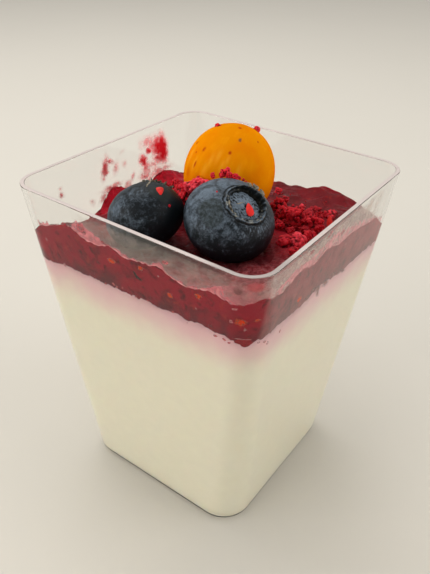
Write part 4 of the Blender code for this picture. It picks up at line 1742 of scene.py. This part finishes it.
# Bits that show against the front walls, by kind and wall: along it, height, half width and
# half height in millimetres, and tilt in degrees
WALL_BITS = {
    "seed": {
        "left_front": (
            (-16.6, 56.0, 0.3, 0.45, 10), (-5.9, 56.3, 0.35, 0.25, 20), (-3.8, 57.1, 0.45, 0.3, -30),
            (-3.0, 56.8, 0.25, 0.3, 0), (-1.6, 57.2, 0.3, 0.2, 40), (1.5, 56.6, 0.35, 0.2, 30),
            (4.3, 57.0, 0.25, 0.18, 0), (9.9, 57.1, 0.4, 0.25, 35), (12.9, 56.2, 0.12, 0.12, 0),
            (18.7, 56.3, 0.45, 0.3, 25), (20.5, 56.4, 0.4, 0.28, -20), (21.4, 56.1, 0.4, 0.25, 15),
        ),
        "right_front": (
            (-17.1, 55.3, 0.3, 0.4, 0),
        ),
    },
    "fleck": {
        "left_front": (
            (2.1, 61.7, 0.35, 0.75, 35), (2.7, 61.2, 0.7, 0.35, -15),
        ),
        "right_front": (
            (-20.2, 66.4, 0.14, 0.18, 0),
        ),
    },
    "shade": {
        "left_front": (
            (17.9, 58.0, 0.7, 0.8, 30), (12.1, 60.9, 0.8, 0.5, 0), (-6.9, 60.6, 0.9, 0.6, 10),
            (-11.5, 61.3, 0.8, 0.5, -20), (23.3, 67.3, 1.5, 1.3, 10),
        ),
        "right_front": (
            (-8.0, 60.4, 1.2, 0.8, 20), (2.0, 61.4, 1.4, 0.8, 10), (-15.4, 61.0, 1.2, 0.8, 0),
        ),
    },
    "glow": {
        "left_front": (
            (26.3, 68.5, 1.9, 1.1, 5),
        ),
    },
    "orange": {
        "left_front": (
            (9.6, 60.6, 0.8, 0.6, 0), (23.6, 61.2, 1.3, 0.8, 0), (26.6, 61.6, 0.6, 0.4, 0),
            (15.6, 63.2, 0.9, 0.6, 10), (-3.3, 62.4, 1.2, 0.6, 10), (3.5, 63.6, 0.8, 0.5, 20),
        ),
        "right_front": (
            (-12.0, 59.2, 1.0, 0.9, 0),
        ),
    },
    "bubble": {
        "left_front": (
            (7.4, 63.6, 0.18, 0.2, 0), (22.6, 63.7, 0.6, 0.2, 12), (21.9, 60.9, 0.45, 0.4, 0),
            (24.4, 59.7, 0.3, 0.35, 0), (15.0, 60.3, 0.16, 0.22, 0), (-20.5, 60.5, 0.2, 0.35, 20),
            (24.0, 57.5, 1.9, 0.16, 0),
        ),
        "right_front": (
            (-23.2, 56.4, 0.35, 0.22, 0), (-21.8, 56.0, 0.45, 0.3, -20), (-20.9, 55.3, 0.3, 0.45, 30),
            (-14.7, 61.7, 0.16, 0.2, 0), (-10.4, 62.1, 0.2, 0.25, 0), (3.7, 63.0, 0.35, 0.2, 0),
        ),
    },
    "lobe": {
        "left_front": (
            (24.2, 56.8, 1.6, 0.9, 0),
        ),
    },
    "blob": {
        "left_front": (
            (-10.0, 66.7, 1.15, 1.1, 0), (-9.3, 66.2, 0.6, 0.55, 0), (9.2, 67.1, 0.8, 0.5, 15),
            (-4.6, 65.6, 0.8, 0.3, -25),
        ),
        "right_front": (
            (-5.0, 69.0, 1.2, 0.4, 20), (0.6, 66.9, 0.8, 0.4, 10), (-11.2, 68.4, 0.8, 0.4, 10),
        ),
    },
    "shred": {
        "right_front": (
            (6.2, 55.7, 1.2, 0.5, -25), (4.4, 56.4, 1.6, 0.7, -20), (1.4, 57.3, 1.8, 0.7, -20),
            (-1.6, 57.0, 1.9, 1.0, -30), (-4.6, 57.2, 1.6, 1.0, -30), (-6.6, 58.2, 1.2, 0.8, -20),
            (-4.2, 55.9, 1.2, 0.6, -45), (-8.6, 57.6, 1.2, 0.6, -20),
        ),
    },
}
# Each kind's two colours, and how solid its middle and its ring are
BIT_KINDS = {
    "seed": ((0.7, 0.08, 0.09), (0.8, 0.22, 0.2), 0.7, 0.9),
    "fleck": ((0.03, 0.004, 0.004), (0.05, 0.006, 0.006), 1.0, 1.0),
    "shade": ((0.1, 0.014, 0.012), (0.15, 0.012, 0.01), 0.35, 0.2),
    "glow": ((0.85, 0.12, 0.13), (0.7, 0.08, 0.09), 0.32, 0.32),
    "orange": ((1.0, 0.1, 0.0), (0.9, 0.05, 0.0), 0.6, 0.6),
    "bubble": ((1.0, 0.5, 0.48), (1.0, 0.36, 0.35), 0.25, 0.6),
    "lobe": ((0.3, 0.006, 0.012), (0.22, 0.004, 0.008), 1.0, 0.95),
    "blob": ((0.75, 0.2, 0.22), (0.6, 0.1, 0.12), 0.4, 0.7),
    "shred": ((0.5, 0.24, 0.21), (0.36, 0.15, 0.135), 0.85, 0.75),
}


def bit_shape(random, side, along, height, half_width, half_height, tilt):
    """Flat rounded scrap just inside the wall's plastic, and how far each point is from its middle."""
    points, faces = ball_shape(3)
    outline = 1 + 0.22 * waves(points[:, :2], 1.4, int(random.integers(1 << 30)), 8)
    across, upward = points[:, 0] * half_width * outline, points[:, 1] * half_height * outline
    x, y = turned_by(across, upward, math.radians(tilt))
    inset = bpy.context.scene.dessert_cup.wall - REACH - 0.02 * MM - 0.03 * MM * points[:, 2]
    from_middle = np.hypot(points[:, 0], points[:, 1])
    return on_wall(side, (along + x) * MM, (height + y) * MM, inset), faces, from_middle


def bit_material(name, first, second, heart, ring):
    """Two mingled colours, with a soft edge unless the bit is solid."""
    recipe = Recipe(name)
    grain = recipe.noise(0.6 * MM)
    recipe.set(
        Base_Color=recipe.blend(recipe.ramp(grain, 0.35, 0.7), first, second),
        Roughness=0.5,
        Specular_IOR_Level=0.1,
        Normal=recipe.bump(grain, 0.02 * MM, 0.5),
    )
    if heart < 1:
        rim = recipe.attribute("rim")
        fade_start = 0.1 if ring < heart else 0.6
        edge = recipe.ramp(rim, fade_start, 1.0, 1.0, 0.0)
        solid = recipe.times(recipe.ramp(rim, 0.3, 0.6, heart, ring), edge)
        recipe.set(Alpha=recipe.times(solid, recipe.ramp(grain, 0.25, 0.6, 0.5, 1.0)))
    return recipe.material


class DESSERT_OT_seeds(bpy.types.Operator):
    """Press the seeds, flecks, shreds and bubbles against the front walls"""

    bl_idname = "dessert.seeds"
    bl_label = "Seeds and Bubbles"

    def execute(self, context):
        random = np.random.default_rng(BIT_SEED)
        for kind, look in BIT_KINDS.items():
            bits = [(side, *bit) for side, rows in WALL_BITS[kind].items() for bit in rows]
            shapes = [bit_shape(random, *bit) for bit in bits]
            mesh = joined_mesh(kind + "_bits", [shape[:2] for shape in shapes])
            paint(mesh, "rim", np.concatenate([shape[2] for shape in shapes]))
            new_piece(kind + "_bits", mesh, bit_material(kind + "_finish", *look), "coulis_red")
        return {"FINISHED"}


# Stage


def camera_frame(stage):
    """Camera's right, up and backward directions."""
    level = math.cos(stage.elevation)
    right_x, right_y = math.cos(stage.azimuth), math.sin(stage.azimuth)
    back = Vector((right_y * level, -right_x * level, math.sin(stage.elevation)))
    right = Vector((right_x, right_y, 0.0))
    tilt = Matrix.Rotation(stage.roll, 3, back)
    return tilt @ right, tilt @ back.cross(right), back


LIGHT_COLOUR = (1.0, 0.985, 0.96)
WORLD_STRENGTH = 0.6

# Lights: name, place, height on the cup's own line that they face, width and height, power
LIGHTS = (
    ("key_light", (-0.2, 0.08, 0.5), 0.06, (0.5, 0.5), 1.8),
    ("left_fill", (-0.47, -0.87, 0.26), 0.05, (0.85, 0.4), 6.9),
    ("right_fill", (0.87, 0.47, 0.26), 0.05, (0.85, 0.4), 6.4),
)


def add_light(name, place, target_height, size, energy):
    """Soft oblong light that faces the cup."""
    data = bpy.data.lights.new(name, "AREA")
    data.shape = "RECTANGLE"
    data.size, data.size_y = size
    data.energy = energy
    data.color = LIGHT_COLOUR
    light = bpy.data.objects.new(name, data)
    light.location = place
    away = Vector(place) - Vector((0, 0, target_height))
    light.rotation_euler = away.to_track_quat("Z", "Y").to_euler()
    bpy.context.scene.collection.objects.link(light)


def add_camera(stage):
    """Camera that looks down at the cup's front corner."""
    right, up, back = camera_frame(stage)
    aim = Vector((0, 0, CUP_HEIGHT)) + right * stage.aim_right + up * stage.aim_up
    data = bpy.data.cameras.new("camera")
    data.lens = stage.lens
    data.sensor_width = 36.0
    data.clip_start = 5 * MM
    camera = bpy.data.objects.new("camera", data)
    turn = Matrix((right, up, back)).transposed()
    camera.matrix_world = Matrix.Translation(aim + back * stage.distance) @ turn.to_4x4()
    bpy.context.scene.collection.objects.link(camera)
    bpy.context.scene.camera = camera


def add_floor(stage):
    """Pale level floor under the cup."""
    mesh = bpy.data.meshes.new("floor")
    reach = 4.0
    corners = [(-reach, -reach, 0), (reach, -reach, 0), (reach, reach, 0), (-reach, reach, 0)]
    mesh.from_pydata(corners, [], [(0, 1, 2, 3)])
    recipe = Recipe("pale_floor")
    weave = recipe.noise(60 * MM, detail=2.0)
    recipe.set(
        Base_Color=recipe.blend(weave, stage.floor_colour, shaded(stage.floor_colour, 0.98)),
        Roughness=0.7,
        Specular_IOR_Level=0.2,
    )
    mesh.materials.append(recipe.material)
    floor = bpy.data.objects.new("floor", mesh)
    bpy.context.scene.collection.objects.link(floor)


class DESSERT_OT_stage(bpy.types.Operator):
    """Set the camera, the pale floor and the soft light"""

    bl_idname = "dessert.stage"
    bl_label = "Stage"

    def execute(self, context):
        scene = context.scene
        add_camera(scene.dessert_stage)
        add_floor(scene.dessert_stage)
        for light in LIGHTS:
            add_light(*light)
        world = bpy.data.worlds.new("studio")
        world.use_nodes = True
        background = world.node_tree.nodes["Background"]
        background.inputs["Color"].default_value = (*LIGHT_COLOUR, 1.0)
        background.inputs["Strength"].default_value = WORLD_STRENGTH
        scene.world = world
        scene.view_settings.view_transform = "Standard"
        return {"FINISHED"}


STEPS = (
    DESSERT_OT_stage,
    DESSERT_OT_cup,
    DESSERT_OT_cream,
    DESSERT_OT_coulis,
    DESSERT_OT_blueberries,
    DESSERT_OT_physalis,
    DESSERT_OT_crumbs,
    DESSERT_OT_slivers,
    DESSERT_OT_smears,
    DESSERT_OT_film,
    DESSERT_OT_seeds,
)


class DESSERT_PT_panel(bpy.types.Panel):
    """Buttons for each part of the dessert"""

    bl_idname = "DESSERT_PT_panel"
    bl_label = "Panna Cotta"
    bl_space_type = "VIEW_3D"
    bl_region_type = "UI"
    bl_category = "Panna Cotta"

    def draw(self, context):
        for step in STEPS:
            self.layout.operator(step.bl_idname)


SETTINGS = {
    "dessert_cup": CupSettings,
    "dessert_cream": CreamSettings,
    "dessert_coulis": CoulisSettings,
    "dessert_berries": BerrySettings,
    "dessert_crumbs": CrumbSettings,
    "dessert_stage": StageSettings,
}


def register():
    """Register the classes and hang the settings on the scene."""
    for item in (*SETTINGS.values(), *STEPS, DESSERT_PT_panel):
        bpy.utils.register_class(item)
    for name, group in SETTINGS.items():
        setattr(bpy.types.Scene, name, PointerProperty(type=group))


def unregister():
    """Take the settings and the classes away again."""
    for name in SETTINGS:
        delattr(bpy.types.Scene, name)
    for item in (DESSERT_PT_panel, *reversed(STEPS), *SETTINGS.values()):
        bpy.utils.unregister_class(item)


def main():
    """Make every piece in turn."""
    register()
    for step in STEPS:
        group, name = step.bl_idname.split(".")
        getattr(getattr(bpy.ops, group), name)()


if __name__ == "__main__":
    main()
